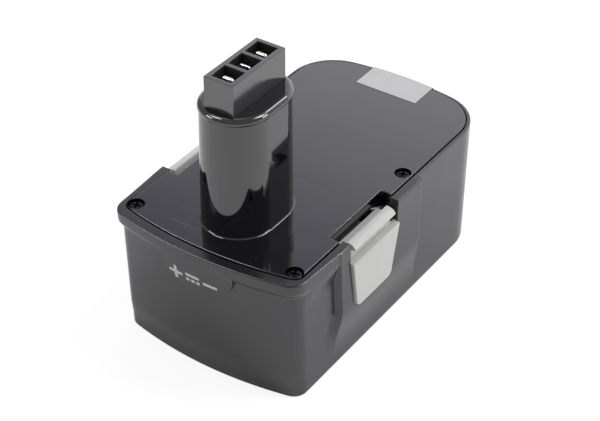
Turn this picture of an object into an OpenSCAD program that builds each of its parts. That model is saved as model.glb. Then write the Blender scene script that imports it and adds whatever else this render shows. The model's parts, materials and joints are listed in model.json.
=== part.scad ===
// Slide-in battery pack for a cordless tool: a deep cell case, a screwed top cover with a contact
// stem, two sprung side latches and a welded block of round cells. Millimetres, +Z up, front at -Y.

/* [Case] */
// room between the outer cells and the side walls
side_room = 1.75; // [1.75:0.05:4]
// room between the front cells and the front face at the rim
front_room = 12.325; // [12:0.025:18]
// room between the rear cells and the rear face at the rim
rear_room = 7.575; // [7.5:0.025:12]
// room between the insulating sheet and the cover plate
head_room = 3.1; // [2.9:0.1:8]
// side and rear wall thickness
wall_t = 2.2; // [1.8:0.1:2.4]
// front wall thickness, more because the front is pulled out by hand
front_wall_t = 3.2; // [2.8:0.1:4]
// floor thickness
floor_t = 2.2; // [1.8:0.1:2.4]
// inward draft of the sides and rear from rim to floor
side_draft = 0.4; // [0:0.1:0.6]
// set-back of the front wall from rim to floor
front_lean = 1.6; // [0:0.1:3]
// radius of the bowed front in plan
front_bow_r = 148.6; // [120:0.2:220]
// radius of the bowed rear in plan
rear_bow_r = 131.7; // [110:0.2:200]
// front corner radius in plan
front_corner_r = 5.5; // [4:0.25:8]
// rear corner radius in plan
rear_corner_r = 18.5; // [14:0.25:19]
// height of the set-in band at the foot of the front
band_h = 10.5; // [8:0.25:14]
// set-back of that band
band_in = 0.5; // [0.3:0.1:1.2]
// rise of the slope above the band
band_slope = 1.6; // [0.8:0.1:3]
// rounding of the bottom edge
foot_r = 0.8; // [0.6:0.1:2]

/* [Collar and latch pads] */
// how far the collar stands out at the front
collar_out = 1.85; // [1.2:0.05:2.4]
// how far the collar stands out at the front corners
collar_side = 0.5; // [0.2:0.05:1]
// upright height of the collar
collar_h = 3.7; // [3:0.1:6]
// height of the collar's sloped lower edge
collar_slope = 2.3; // [1.5:0.1:4]
// how far the latch pads stand out of the side walls
pad_out = 2.9; // [2.5:0.1:3.5]
// reach of the pad forward of the latch centre, at its top
pad_fore = 21; // [20:0.1:23]
// reach of the pad behind the latch centre
pad_aft = 31; // [26:0.5:40]
// height of the pad's lower edge above the foot of the press plate
pad_foot = 0.6; // [0:0.1:1.5]
// lean of the pad's front end from top to bottom
pad_lean = 1.9; // [0:0.1:4]
// spread of the pad's front flank, ramp below and rear flank down to the wall
pad_spread = [1.4, 13, 2.8]; // [1:0.1:16]
// corner radius of the pad face
pad_corner_r = 4; // [2:0.25:6]
// radius of the collar's rear ends in plan
tail_r = 2.8; // [1.5:0.1:2.8]

/* [Thumb rest] */
// radius of the half-moon rest on the front wall
rest_r = 15.5; // [10:0.25:18]
// depth of the rest's centre below the rim
rest_drop = 3.3; // [0.5:0.1:6]
// how far the rest's lowest edge runs into the wall
rest_sink = 0.1; // [0.05:0.05:0.3]

/* [Top cover] */
// cover plate thickness below the rim level
cover_t = 2.6; // [2.2:0.1:3]
// height of the cover above the rim
cover_rise = 0.35; // [0:0.05:0.6]
// width of the rim left beside the cover
rim_land = 1.05; // [0.8:0.05:1.4]
// width of the rim left in front of the cover
rim_land_front = 2.2; // [1.5:0.1:3]
// gap between the cover's edge and the rim
cover_gap = 0.4; // [0.15:0.05:0.5]
// corner radius at the front of the cover
cover_corner_r = 3.2; // [2:0.1:5]
// half length of the latch notch in the cover's edge
notch_half = 16.5; // [16.4:0.05:17.2]
// depth of the latch notch
notch_depth = 4.2; // [3.8:0.1:4.6]
// depth of the shallow panel around the stem
panel_drop = 0.3; // [0.2:0.05:0.6]
// half width of the shallow panel
panel_half_w = 21.5; // [18:0.25:24]
// front and rear reach of the shallow panel from the stem axis
panel_reach = [19.6, 27]; // [18:0.1:30]
// corner radius of the shallow panel
panel_r = 3; // [1:0.25:5]
// thickness of the hold-down ribs under the cover
rib_t = 1.5; // [1:0.1:2.5]
// clear height between the ribs and the insulating sheet
rib_gap = 0.1; // [0.05:0.05:0.3]
// length of the ribs, in cell pitches
rib_l = 2.8; // [2:0.1:3]

/* [Stem] */
// stem axis, measured behind the front face at the rim
stem_back = 29.4; // [28:0.025:32]
// stem width and length at the cover
stem_base = [26.5, 36.2]; // [24:0.1:40]
// stem width and length under the rounded lip
stem_tip = [25.6, 35.3]; // [22:0.1:38]
// height of the stem's flat top above the cover
stem_h = 47.65; // [36:0.05:58]
// radius of the rounded lip at the stem's top and how far it stands out
stem_lip = [1.1, 0.4]; // [0.2:0.1:2]
// stem wall thickness
stem_wall = 2; // [1.6:0.1:2.4]
// spread of the flare at the stem's foot, on each side, and its rise
flare = [0.6, 0.6]; // [0.4:0.1:2]
// share of the flare's spread and rise at its middle step
flare_mid = 0.3; // [0.2:0.05:0.5]

/* [Contact block] */
// width of the contact block
block_w = 11.8; // [11:0.1:13]
// length of the contact block
block_l = 29.5; // [29:0.1:30]
// height of the contact block above the stem top
block_h = 11.9; // [8:0.1:16]
// width and length of one contact pocket
pocket = [8, 7.5]; // [6:0.1:8]
// pocket pitch
pocket_pitch = 9.2; // [9:0.05:9.4]
// pocket depth
pocket_depth = 10.8; // [7:0.1:14]
// clearance round the block in the stem's top and round the tabs
slip = 0.1; // [0.05:0.05:0.2]
// thickness of the block's seat flange inside the stem
seat_t = 2.4; // [1.6:0.1:4]
// contact tab width, and thickness of the middle tab and of the two power tabs
tab = [4.8, 0.8, 1.6]; // [0.6:0.1:6]
// corner radius of a tab's tip
tab_r = 1.2; // [0.5:0.1:2]
// depth of the tab's tip below the block's top
tab_down = 1.3; // [0.5:0.1:3]
// length of the wide solder tail below the block
tail_l = 6; // [4:0.5:9]
// extra width of the tail on each side
tail_wide = 0.8; // [0.5:0.1:1.2]

/* [Latches] */
// latch centre, measured behind the second row of cells
latch_shift = 1.9; // [1:0.1:2]
// half length of the press plate at its top
press_half_top = 14.8; // [14.5:0.05:15]
// half length of the press plate at its bottom
press_half_low = 11.5; // [9:0.1:13]
// depth of the press plate's top ledge below the rim
press_drop = 8.7; // [8.1:0.1:10]
// height of the press plate
press_h = 21.2; // [18:0.1:22]
// how far the press plate stands out of the pad
press_out = 0.8; // [0.5:0.05:1.2]
// lean of the press face from top to bottom
press_lean = 0.5; // [0:0.05:0.8]
// gap round the press plate in its window
window_gap = 0.4; // [0.3:0.05:0.6]
// thickness of the pad face around the window
face_t = 1.2; // [1:0.05:1.4]
// thickness of the latch's retaining ears
ear_t = 1.1; // [0.9:0.05:1.3]
// reach of the ears beyond the press plate
ear_over = 1.4; // [1:0.05:1.6]
// running clearance of the latch in its pocket
run_gap = 0.15; // [0.1:0.05:0.3]
// latch travel
travel = 2.3; // [1.5:0.1:2.4]
// half length of the catch nose
nose_half = 12.9; // [10:0.1:13.5]
// reach of the catch nose in front of its crest, and its height
nose = [3.6, 2.2]; // [1.8:0.1:3.8]
// reach of the nose behind its crest
nose_back = 0.8; // [0.5:0.1:1.6]
// depth of the catch nose's widest line below the rim
nose_drop = 4.1; // [4:0.1:4.6]
// set-back of the nose behind the press face
nose_in = 0.9; // [0.8:0.1:1.4]
// rounding of the nose under its widest line, in degrees
nose_under = 10; // [0:5:30]
// width of the ledge on top of the press plate
ledge = 1.9; // [1.7:0.1:2.1]
// depth of the neck's root below the ledge
web_t = 1.6; // [1.2:0.1:2.4]
// thickness of the catch flange
catch_t = 1.4; // [1:0.1:1.5]
// neck thickness between press plate and nose
neck_t = 1.9; // [1.5:0.1:2.4]
// height of the catch flange's top above the nose's widest line
catch_up = 0.4; // [0.3:0.05:0.6]
// space between the catch flange's edge and the notch, seen from above
catch_back = 0.8; // [0.4:0.1:1.2]
// corner radius at the foot of the press plate
press_r = 3; // [1:0.25:4]

/* [Latch springs] */
// height of the spring axes above the foot of the press plate
spring_up = 10.6; // [8:0.1:13]
// spring outside diameter
spring_d = 4.6; // [4:0.1:4.8]
// spring wire diameter
spring_wire = 0.45; // [0.35:0.05:0.5]
// coils in one spring
spring_coils = 5; // [4:0.5:6]
// thickness of the spring plate behind the latch
plate_t = 1.2; // [1:0.05:1.3]
// reach of the spring plate each side of the latch centre
plate_half = 19.3; // [19:0.1:19.6]
// clearance between the spring cups and the cells
cup_clear = 0.4; // [0.2:0.1:0.8]
// wall of the spring cups
cup_wall = 0.8; // [0.6:0.05:0.9]
// reach of the spring plate below the foot of the press plate
plate_under = 3.4; // [2:0.1:6]
// peg that keeps a spring on the latch: diameter and length
peg = [2.8, 1.4]; // [1:0.1:3]
// clearance of a spring in its cup
cup_gap = 0.3; // [0.2:0.05:0.4]
// rails that carry the spring plates: lip thickness and width
rail = [0.6, 1.9]; // [0.4:0.05:2.2]
// width of the tabs that hold the spring plates down
hold_w = 2; // [1.5:0.1:2.1]

/* [Screws] */
// distance of a front screw from the side face and from the front face
screw_in = [4.6, 9.725]; // [4:0.025:11]
// distance of a middle screw from the side face
screw_mid_in = 4.9; // [4.6:0.1:5.2]
// place of a middle screw behind the second row of cells, in pitches
screw_mid_back = 1.396; // [1.38:0.002:1.42]
// screw head diameter and height
head = [5.6, 1.7]; // [1:0.1:6]
// head recess diameter in the cover
recess_d = 6.2; // [6.1:0.1:7]
// head recess depth
recess_depth = 2.2; // [2:0.1:2.4]
// screw shank diameter
shank_d = 2.9; // [2.5:0.1:3]
// screw shank length below the head
shank_l = 12; // [8:0.5:16]
// cross recess: slot length, width and depth
cross = [3.4, 0.9, 1.1]; // [0.5:0.1:4]
// front boss radius in the case
boss_r = 3.2; // [2.8:0.1:3.4]
// middle boss radius in the case
boss_mid_r = 2.3; // [2.1:0.1:2.4]
// cover thickness below a screw head
under_head = 1.4; // [1:0.1:2]
// width of the gussets between bosses and walls
gusset_w = 2.4; // [1.6:0.1:3]
// chamfer of the screw head: height and width
head_edge = [0.3, 0.5]; // [0.1:0.1:0.8]
// turn of the cross recess
cross_turn = 20; // [0:5:45]

/* [Cells] */
// can diameter
cell_d = 22.2; // [19:0.1:27]
// cell height over the button
cell_h = 43; // [36:0.1:62]
// air between neighbouring sleeves
cell_gap = 0.15; // [0.1:0.05:0.5]
// button diameter and height
button = [9.5, 1.1]; // [0.8:0.1:11]
// can edge rounding
can_r = 0.9; // [0.5:0.1:1.5]
// sleeve thickness
sleeve_t = 0.15; // [0.1:0.05:0.15]
// sleeve clearance on the can
sleeve_gap = 0.05; // [0.02:0.01:0.06]
// insulating ring thickness at the button end
ring_t = 0.5; // [0.3:0.1:0.8]
// strap width and thickness
strap = [8, 0.2]; // [0.1:0.05:10]
// foam bed thickness under the cells
bed_t = 0.8; // [0.5:0.1:1]
// insulating sheet thickness above the cells
sheet_t = 0.4; // [0.2:0.1:0.6]
// air between the thermal switch and the sleeves round it
thermal_gap = 0.585; // [0.3:0.005:1.2]
// thermal switch height
thermal_h = 12; // [6:0.5:14]
// power lead diameter
lead_d = 2.2; // [1.6:0.1:2.4]
// sensing lead diameter
sense_d = 1.4; // [1:0.1:1.6]
// overhang of the foam and sheet beyond the outer cell axes
bed_side = 8; // [6:0.5:9]
// reach of the foam and sheet in front of and behind the front cell axis, in pitches
bed_reach = [0.45, 4.36]; // [0.3:0.01:4.4]
// holes in the sheet over the minus tab and over the thermal switch
sheet_hole = [4.5, 3]; // [2.5:0.1:5]
// foam block at the front: offset and width
packing = [-9, 14]; // [-12:0.1:18]
// clear depth between the foam block and the front wall
packing_gap = 0.425; // [0.4:0.025:1]
// space between a lead's end and what it is soldered to
lead_gap = 0.1; // [0.05:0.05:0.2]
// bends of the leads: below the block twice, then above the cover
lead_fall = [1, 12, 8]; // [1:0.5:16]
// depth of the thermal switch below the cell tops
thermal_down = 2; // [1:0.1:4]
// reach of the plus tab in front of the front cell axis, in pitches
plus_reach = 0.55; // [0.5:0.01:0.58]
// width of the plus tab
plus_w = 5; // [4:0.5:6]

/* [Seal label] */
// label half width
label_half = 13.2; // [8:0.1:16]
// label reach forward of the rear rim
label_l = 14.3; // [10:0.1:18]
// label drop down the rear wall
label_drop = 8; // [4:0.5:14]
// label thickness
label_t = 0.14; // [0.1:0.01:0.2]
// space under the label
label_gap = 0.02; // [0.01:0.01:0.03]

/* [Hidden] */
skin = 0.02;
sink = 0.2;
over = 1;
far = 200;
bow_n = 18;
corner_n = 5;
$fn = 48;
sleeve_r = cell_d / 2 + sleeve_gap + sleeve_t;
cell_pitch = 2 * sleeve_r + cell_gap;
cell_z = floor_t + bed_t + strap[1];
cell_top = cell_z + cell_h;
sheet_z = cell_top + strap[1];
rib_z = sheet_z + sheet_t + rib_gap;
rim_h = sheet_z + sheet_t + head_room + cover_t;
half_w = cell_pitch + sleeve_r + side_room + wall_t;
overall_l = front_room + 2 * sleeve_r + 4 * cell_pitch + rear_room + collar_out;
front_y = -overall_l / 2 + collar_out;
rear_y = overall_l / 2;
front_row_y = front_y + front_room + sleeve_r;
row_y = front_row_y + cell_pitch;
latch_y = row_y + latch_shift;
stem_y = front_y + stem_back;
pad_x = half_w + pad_out;
seat_z = rim_h - cover_t;
cover_z = rim_h + cover_rise;
cover_half = half_w - rim_land - cover_gap;
rest_z = rim_h - rest_drop;
rest_low_z = rest_z - rest_r;
press_top_z = rim_h - press_drop;
press_low_z = press_top_z - press_h;
pad_low_z = press_low_z + pad_foot;
nose_z = rim_h - nose_drop;
stem_top_z = cover_z + stem_h;
notch_x = cover_half - notch_depth;
press_x = pad_x + press_out;
ear_x = pad_x - face_t - run_gap;
ear_back_x = ear_x - ear_t;
ear_half = press_half_top + ear_over;
pocket_half = ear_half + 2 * window_gap;
plate_x = ear_back_x - travel - run_gap;
cup_r = spring_d / 2 + cup_gap;
spring_off = cell_pitch / 2;
spring_z = press_low_z + spring_up;
valley = spring_off - latch_shift - cup_r - cup_wall;
cup_floor_x = cell_pitch + sqrt(pow(sleeve_r, 2) - pow(valley, 2)) + cup_clear + cup_wall;
plate_low_z = press_low_z - plate_under;
plate_top_z = press_top_z - web_t - 2 * run_gap;
catch_in_x = notch_x + catch_back;
nose_x = press_x - nose_in - nose[0];
neck_x = press_x - ledge;
press_slant = atan2(press_half_top - press_half_low, press_h);
panel_z = cover_z - panel_drop;
stem_in_tip = [stem_tip[0] - 2 * stem_wall, stem_tip[1] - 2 * stem_wall];
stem_in_base = [stem_base[0] - 2 * stem_wall, stem_base[1] - 2 * stem_wall];
stem_ceiling = stem_top_z - stem_wall;
block_top = stem_top_z + block_h;
block_low = stem_ceiling - seat_t;
head_z = cover_z - recess_depth;
boss_top = head_z - under_head;
thermal_d = sqrt(2) * cell_pitch - 2 * sleeve_r - 2 * thermal_gap;
packing_t = front_room - front_lean - band_in - front_wall_t - packing_gap;
screw_front = [half_w - screw_in[0], front_y + screw_in[1]];
screw_mid = [half_w - screw_mid_in, row_y + screw_mid_back * cell_pitch];
// chain of cells, one after the other, as column and row
CHAIN = [[-1, -1], [-1, 0], [-1, 1], [-1, 2], [-1, 3], [0, 3], [1, 3], [1, 2], [0, 2], [0, 1], [1, 1],
    [1, 0], [0, 0], [0, -1], [1, -1]];
CELLS = [for (c = CHAIN) [c[0] * cell_pitch, row_y + c[1] * cell_pitch]];
thermal_at = [cell_pitch / 2, row_y - cell_pitch / 2];
plus_at = [cell_pitch / 2, front_row_y - plus_reach * cell_pitch];
SCREWS = [[-screw_front[0], screw_front[1]], screw_front, [-screw_mid[0], screw_mid[1]], screw_mid];

// points of an arc without its first point, so that arcs can be chained
function arc(c, r, a0, a1, n) =
    [for (i = [1:n]) let (a = a0 + (a1 - a0) * i / n) [c[0] + r * cos(a), c[1] + r * sin(a)]];

// plan outline with bowed front and rear and four rounded corners
function outline(hw, yf, yr, rf, rr, cf, cr) =
    let (
        fy = yf + rf,
        ry = yr - rr,
        fk = [hw - cf, fy - sqrt(pow(rf - cf, 2) - pow(hw - cf, 2))],
        rk = [hw - cr, ry + sqrt(pow(rr - cr, 2) - pow(hw - cr, 2))],
        af = atan2(fk[1] - fy, fk[0]),
        ar = atan2(rk[1] - ry, rk[0])
    )
    concat(arc([0, fy], rf, -180 - af, af, bow_n), arc(fk, cf, af, 0, corner_n),
        arc(rk, cr, 0, ar, 2 * corner_n), arc([0, ry], rr, ar, 180 - ar, bow_n),
        arc([-rk[0], rk[1]], cr, 180 - ar, 180, 2 * corner_n),
        arc([-fk[0], fk[1]], cf, 180, 180 - af, corner_n));

// case outline at one height, set in by d and by s more at the front
function case_ring(d, z, s) =
    let (k = 1 - z / rim_h, e = d + side_draft * k)
    outline(half_w - e, front_y + d + s + front_lean * k, rear_y - e, front_bow_r - d, rear_bow_r - d,
        max(front_corner_r - d, 1), rear_corner_r - e);

// cover outline grown by g
function cover_ring(g) =
    outline(cover_half + g, front_y + rim_land_front + cover_gap - g, rear_y - rim_land - cover_gap + g,
        front_bow_r, rear_bow_r - rim_land, cover_corner_r + g, rear_corner_r + g);

// collar outline set in by d, with the sides flared out to the latch pads
function collar_ring(d) =
    let (
        hw = half_w + collar_side - d,
        r = front_bow_r,
        c = front_corner_r + collar_side,
        fy = front_y - collar_out + d + r,
        k = [hw - c, fy - sqrt(pow(r - c, 2) - pow(hw - c, 2))],
        a = atan2(k[1] - fy, k[0]),
        y0 = latch_y - pocket_half,
        f = atan2(pad_out - collar_side, y0 - k[1]),
        t = [pad_x - d - tail_r, latch_y + pad_aft - tail_r]
    )
    concat(arc([0, fy], r, -180 - a, a, bow_n), arc(k, c, a, -f, corner_n), [[pad_x - d, y0]],
        [[pad_x - d, t[1]]], arc(t, tail_r, 0, 90, corner_n), [[-t[0], t[1] + tail_r]],
        arc([-t[0], t[1]], tail_r, 90, 180, corner_n), [[d - pad_x, y0]],
        arc([-k[0], k[1]], c, 180 + f, 180 - a, corner_n));

// face of a latch pad as height over length, grown by g times the spread
function pad_face(g) =
    let (
        r = pad_corner_r,
        y0 = latch_y - pad_fore - g * pad_spread[0],
        y1 = latch_y + pad_aft + g * pad_spread[2],
        z0 = pad_low_z - g * pad_spread[1],
        z1 = rim_h - collar_h
    )
    concat([[y0, z1]], arc([y0 + pad_lean + r, z0 + r], r, 180, 270, corner_n),
        arc([y1 - r, z0 + r], r, 270, 360, corner_n), [[y1, z1]]);

// press plate outline as height over length, grown by g
function press_face(g) =
    let (r = press_r + g, a = press_half_low + g - r, z0 = press_low_z - g + r)
    concat([[latch_y + press_half_top + g, press_top_z], [latch_y - press_half_top - g, press_top_z]],
        arc([latch_y - a, z0], r, 180 - press_slant, 270, corner_n),
        arc([latch_y + a, z0], r, 270, 360 + press_slant, corner_n));

// rounded slot outline of a given width and length
function stadium(s) =
    let (r = s[0] / 2, a = s[1] / 2 - r)
    concat(arc([0, a], r, 0, 180, 4 * corner_n), arc([0, -a], r, 180, 360, 4 * corner_n));

// smooth path through control points
function smooth(p, n) =
    let (m = len(p) - 1)
    concat([for (i = [0:m - 1], j = [0:n - 1])
        let (t = j / n, a = p[max(i - 1, 0)], b = p[i], c = p[i + 1], d = p[min(i + 2, m)])
        0.5 * (2 * b + (c - a) * t + (2 * a - 5 * b + 4 * c - d) * t * t
            + (3 * b - a - 3 * c + d) * t * t * t)], [p[m]]);

function unit(v) = v / norm(v);

// a thin level slice, for hulls
module slice(pts, z) {
    translate([0, 0, z]) linear_extrude(height = skin) polygon(pts);
}

// an upright prism between two heights
module prism(pts, z0, z1) {
    translate([0, 0, z0]) linear_extrude(height = z1 - z0) polygon(pts);
}

// a prism along X from a height-over-length outline
module side_prism(pts, x0, x1) {
    translate([x0, 0, 0]) rotate([90, 0, 90]) linear_extrude(height = x1 - x0) polygon(pts);
}

// a box between two corners
module box(a, b) {
    translate(a) cube(b - a);
}

// a round bar along X
module bar(x0, x1, y, z, r) {
    translate([x0, y, z]) rotate([0, 90, 0]) cylinder(h = x1 - x0, r = r);
}

// a round wire swept along a path, n sides; up is any direction the path never takes
module wire(path, r, n, up) {
    m = len(path) - 1;
    pts = [for (i = [0:m], j = [0:n - 1])
        let (t = unit(path[min(i + 1, m)] - path[max(i - 1, 0)]), u = unit(cross(t, up)),
            v = cross(t, u), a = 360 * j / n)
        path[i] + r * (cos(a) * u + sin(a) * v)];
    sides = [for (i = [0:m - 1], j = [0:n - 1], k = [0, 1])
        let (q = (j + 1) % n)
        k == 0 ? [i * n + j, (i + 1) * n + j, i * n + q] : [i * n + q, (i + 1) * n + j, (i + 1) * n + q]];
    ends = [[for (j = [0:n - 1]) j], [for (j = [0:n - 1]) m * n + n - 1 - j]];
    polyhedron(points = pts, faces = concat(sides, ends));
}

module case_outside() {
    difference() {
        hull() {
            for (a = [0:30:90])
                slice(case_ring(foot_r * (1 - sin(a)), foot_r * (1 - cos(a)), 0), foot_r * (1 - cos(a)));
            slice(case_ring(0, rim_h, 0), rim_h - skin);
        }
        difference() {
            box([-far, -far, -over], [far, latch_y, band_h]);
            hull() {
                slice(case_ring(-over, -2 * over, band_in + over), -2 * over);
                slice(case_ring(-over, band_h - band_slope, band_in + over), band_h - band_slope);
                slice(case_ring(-over, band_h, over - sink), band_h);
            }
        }
    }
    intersection() {
        hull() {
            slice(collar_ring(0), rim_h - collar_h);
            slice(case_ring(rest_sink, rest_low_z, 0), rest_low_z);
        }
        translate([0, front_y + front_wall_t / 2, rest_z]) rotate([90, 0, 0])
            cylinder(h = far, r = rest_r, $fn = 72);
    }
    prism(collar_ring(0), rim_h - collar_h, rim_h);
    hull() {
        slice(collar_ring(0), rim_h - collar_h);
        slice(collar_ring(collar_out + side_draft), rim_h - collar_h - collar_slope);
    }
    hull() for (s = [-1, 1]) {
        side_prism(pad_face(0), s * pad_x - skin / 2, s * pad_x + skin / 2);
        side_prism(pad_face(1), s * (half_w - over) - skin / 2, s * (half_w - over) + skin / 2);
    }
}

// space for one latch and its spring plate, on the +X side
module latch_space() {
    box([plate_x - over, latch_y - pocket_half, press_low_z - run_gap],
        [pad_x - face_t, latch_y + pocket_half, press_top_z + run_gap]);
    box([notch_x, latch_y - press_half_top - window_gap, press_top_z - over],
        [pad_x + over, latch_y + press_half_top + window_gap, cover_z + over]);
    side_prism(press_face(window_gap), pad_x - face_t - over, pad_x + over);
    box([plate_x - plate_t - slip, latch_y - plate_half - slip, plate_low_z],
        [plate_x + slip, latch_y + plate_half + slip, cover_z]);
}

// rails that carry one spring plate, on the +X side
module plate_rails() {
    for (s = [-1, 1])
        translate([plate_x - plate_t - slip - rail[0], latch_y + s * plate_half - rail[1] / 2,
            floor_t - skin])
            cube([half_w - plate_x + plate_t, rail[1], plate_top_z - floor_t]);
}

// the deep cell case
module lower_case() {
    color([0.2, 0.2, 0.21])
    difference() {
        union() {
            difference() {
                case_outside();
                hull() {
                    slice(case_ring(wall_t, floor_t, band_in + front_wall_t - wall_t), floor_t);
                    slice(case_ring(wall_t, seat_z, band_in + front_wall_t - wall_t), seat_z);
                }
            }
            for (p = SCREWS)
                translate([p[0], p[1], floor_t - skin])
                    cylinder(h = boss_top - floor_t, r = p[1] < 0 ? boss_r : boss_mid_r);
            for (s = [-1, 1], p = [screw_front, screw_mid])
                translate([s > 0 ? p[0] : over - half_w, p[1] - gusset_w / 2, floor_t - skin])
                    cube([half_w - over - p[0], gusset_w, boss_top - floor_t]);
            plate_rails();
            mirror([1, 0, 0]) plate_rails();
        }
        prism(cover_ring(cover_gap), seat_z, cover_z + over);
        latch_space();
        mirror([1, 0, 0]) latch_space();
        for (p = SCREWS)
            translate([p[0], p[1], boss_top - shank_l]) cylinder(h = far, r = shank_d / 2 + slip / 2);
    }
}

// the screwed cover with the hollow contact stem
module top_cover() {
    color([0.16, 0.16, 0.17])
    difference() {
        union() {
            difference() {
                prism(cover_ring(0), seat_z, cover_z);
                for (s = [-1, 1])
                    translate([s > 0 ? notch_x : notch_x - far, latch_y - notch_half, 0])
                        cube([far - 2 * notch_x * (s > 0 ? 0 : 1), 2 * notch_half, far]);
                translate([0, stem_y, panel_z]) hull() for (x = [-1, 1], y = [0, 1])
                    translate([x * (panel_half_w - panel_r),
                        y == 0 ? panel_r - panel_reach[0] : panel_reach[1] - panel_r, 0])
                        cylinder(h = over, r = panel_r, $fn = 32);
            }
            translate([0, stem_y, 0]) {
                hull() {
                    slice(stadium(stem_base + [2, 2] * flare[0]), panel_z - sink);
                    slice(stadium(stem_base + [2, 2] * flare[0]), panel_z);
                    slice(stadium(stem_base + [2, 2] * flare_mid * flare[0]),
                        panel_z + flare_mid * flare[1]);
                    slice(stadium(stem_base), panel_z + flare[1]);
                }
                hull() {
                    slice(stadium(stem_base), panel_z - sink);
                    slice(stadium(stem_tip), stem_top_z - stem_lip[0]);
                }
                hull() for (a = [-90:22.5:90])
                    slice(stadium(stem_tip + [2, 2] * (stem_lip[1] - stem_lip[0] * (1 - cos(a)))),
                        stem_top_z - stem_lip[0] * (1 - sin(a)) - skin);
            }
            intersection() {
                for (p = SCREWS)
                    translate([p[0], p[1], boss_top]) cylinder(h = seat_z - boss_top + sink, r = boss_r);
                prism(case_ring(wall_t + 2 * slip, seat_z, band_in + front_wall_t - wall_t), 0, far);
            }
            for (s = [-1, 1])
                translate([s * cell_pitch / 2 - rib_t / 2, row_y + cell_pitch / 2, rib_z])
                    cube([rib_t, rib_l * cell_pitch, seat_z - rib_z + sink]);
            for (s = [-1, 1], t = [-1, 1])
                translate([s * (plate_x - plate_t / 2) - plate_t / 2 + slip,
                    latch_y + t * (notch_half + hold_w / 2) - hold_w / 2, plate_top_z + slip])
                    cube([plate_t - 2 * slip, hold_w, seat_z - plate_top_z]);
        }
        translate([0, stem_y, 0]) {
            hull() {
                slice(stadium(stem_in_base), seat_z - over);
                slice(stadium(stem_in_tip), stem_ceiling - skin);
            }
            box([-block_w / 2 - slip, -block_l / 2 - slip, stem_ceiling - over],
                [block_w / 2 + slip, block_l / 2 + slip, stem_top_z + over]);
        }
        for (p = SCREWS) {
            translate([p[0], p[1], head_z]) cylinder(h = far, r = recess_d / 2);
            translate([p[0], p[1], boss_top - over]) cylinder(h = far, r = shank_d / 2 + 2 * slip);
        }
    }
}

// thickness of one tab
function tab_t(i) = i == 0 ? tab[1] : tab[2];

// slot for one tab through the contact block
module tab_slot(i) {
    y = i * pocket_pitch;
    t = tab_t(i) / 2 + slip / 2;
    box([-tab[0] / 2 - slip / 2, y - t, block_low - over], [tab[0] / 2 + slip / 2, y + t, block_top]);
}

// the contact block with three open pockets
module contact_holder() {
    color([0.35, 0.35, 0.36])
    translate([0, stem_y, 0]) difference() {
        union() {
            box([-block_w / 2, -block_l / 2, stem_ceiling - sink], [block_w / 2, block_l / 2, block_top]);
            intersection() {
                prism(stadium(stem_in_tip - [2, 2] * slip), block_low, stem_ceiling - skin);
                box([-far, -block_l / 2, 0], [far, block_l / 2, far]);
            }
        }
        for (i = [-1:1]) {
            box([-pocket[0] / 2, i * pocket_pitch - pocket[1] / 2, block_top - pocket_depth],
                [pocket[0] / 2, i * pocket_pitch + pocket[1] / 2, block_top + over]);
            tab_slot(i);
        }
    }
}

// one blade contact with a wide solder tail
module contact(i) {
    color([0.82, 0.8, 0.74])
    translate([0, stem_y + i * pocket_pitch + tab_t(i) / 2, 0]) rotate([90, 0, 0])
        linear_extrude(height = tab_t(i))
        polygon(concat([[-tab[0] / 2 - tail_wide, block_low - tail_l],
            [tab[0] / 2 + tail_wide, block_low - tail_l], [tab[0] / 2 + tail_wide, block_low],
            [tab[0] / 2, block_low]],
            arc([tab[0] / 2 - tab_r, block_top - tab_down - tab_r], tab_r, 0, 90, corner_n),
            arc([tab_r - tab[0] / 2, block_top - tab_down - tab_r], tab_r, 90, 180, corner_n),
            [[-tab[0] / 2, block_low], [-tab[0] / 2 - tail_wide, block_low]]));
}

// one latch on the +X side: press plate, ears, neck, catch flange and domed nose
module latch() {
    color([0.72, 0.71, 0.69])
    union() {
        intersection() {
            side_prism(press_face(0), ear_x - sink, press_x);
            translate([0, latch_y + far / 2, 0]) rotate([90, 0, 0]) linear_extrude(height = far)
                polygon([[ear_x - sink, 0], [press_x - press_lean, press_low_z - over],
                    [press_x, (press_low_z + 3 * press_top_z) / 4], [press_x, far], [ear_x - sink, far]]);
        }
        box([ear_back_x, latch_y - ear_half, press_low_z], [ear_x, latch_y + ear_half, press_top_z]);
        box([neck_x - neck_t, latch_y - nose_half, press_top_z - web_t],
            [neck_x, latch_y + nose_half, nose_z]);
        box([catch_in_x, latch_y - nose_half, nose_z + catch_up - catch_t],
            [nose_x, latch_y + nose_half, nose_z + catch_up]);
        translate([nose_x, latch_y + nose_half, nose_z]) rotate([90, 0, 0])
            linear_extrude(height = 2 * nose_half)
            polygon(concat([[-nose_back, -nose[1] * sin(nose_under)]],
                [for (p = arc([0, 0], 1, -nose_under, 90, 3 * corner_n)) [nose[0] * p[0], nose[1] * p[1]]],
                [for (p = arc([0, 0], 1, 90, 180, corner_n)) [nose_back * p[0], nose[1] * p[1]]]));
        for (s = [-1, 1])
            bar(ear_back_x - peg[1], ear_back_x + sink, latch_y + s * spring_off, spring_z, peg[0] / 2);
    }
}

// the plate behind one latch, with two cups for the springs, on the +X side
module spring_plate() {
    color([0.3, 0.3, 0.31])
    difference() {
        union() {
            box([plate_x - plate_t, latch_y - plate_half, plate_low_z],
                [plate_x, latch_y + plate_half, plate_top_z]);
            for (s = [-1, 1])
                bar(cup_floor_x - cup_wall, plate_x - sink, latch_y + s * spring_off, spring_z,
                    cup_r + cup_wall);
        }
        for (s = [-1, 1]) bar(cup_floor_x, plate_x + over, latch_y + s * spring_off, spring_z, cup_r);
    }
}

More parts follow.
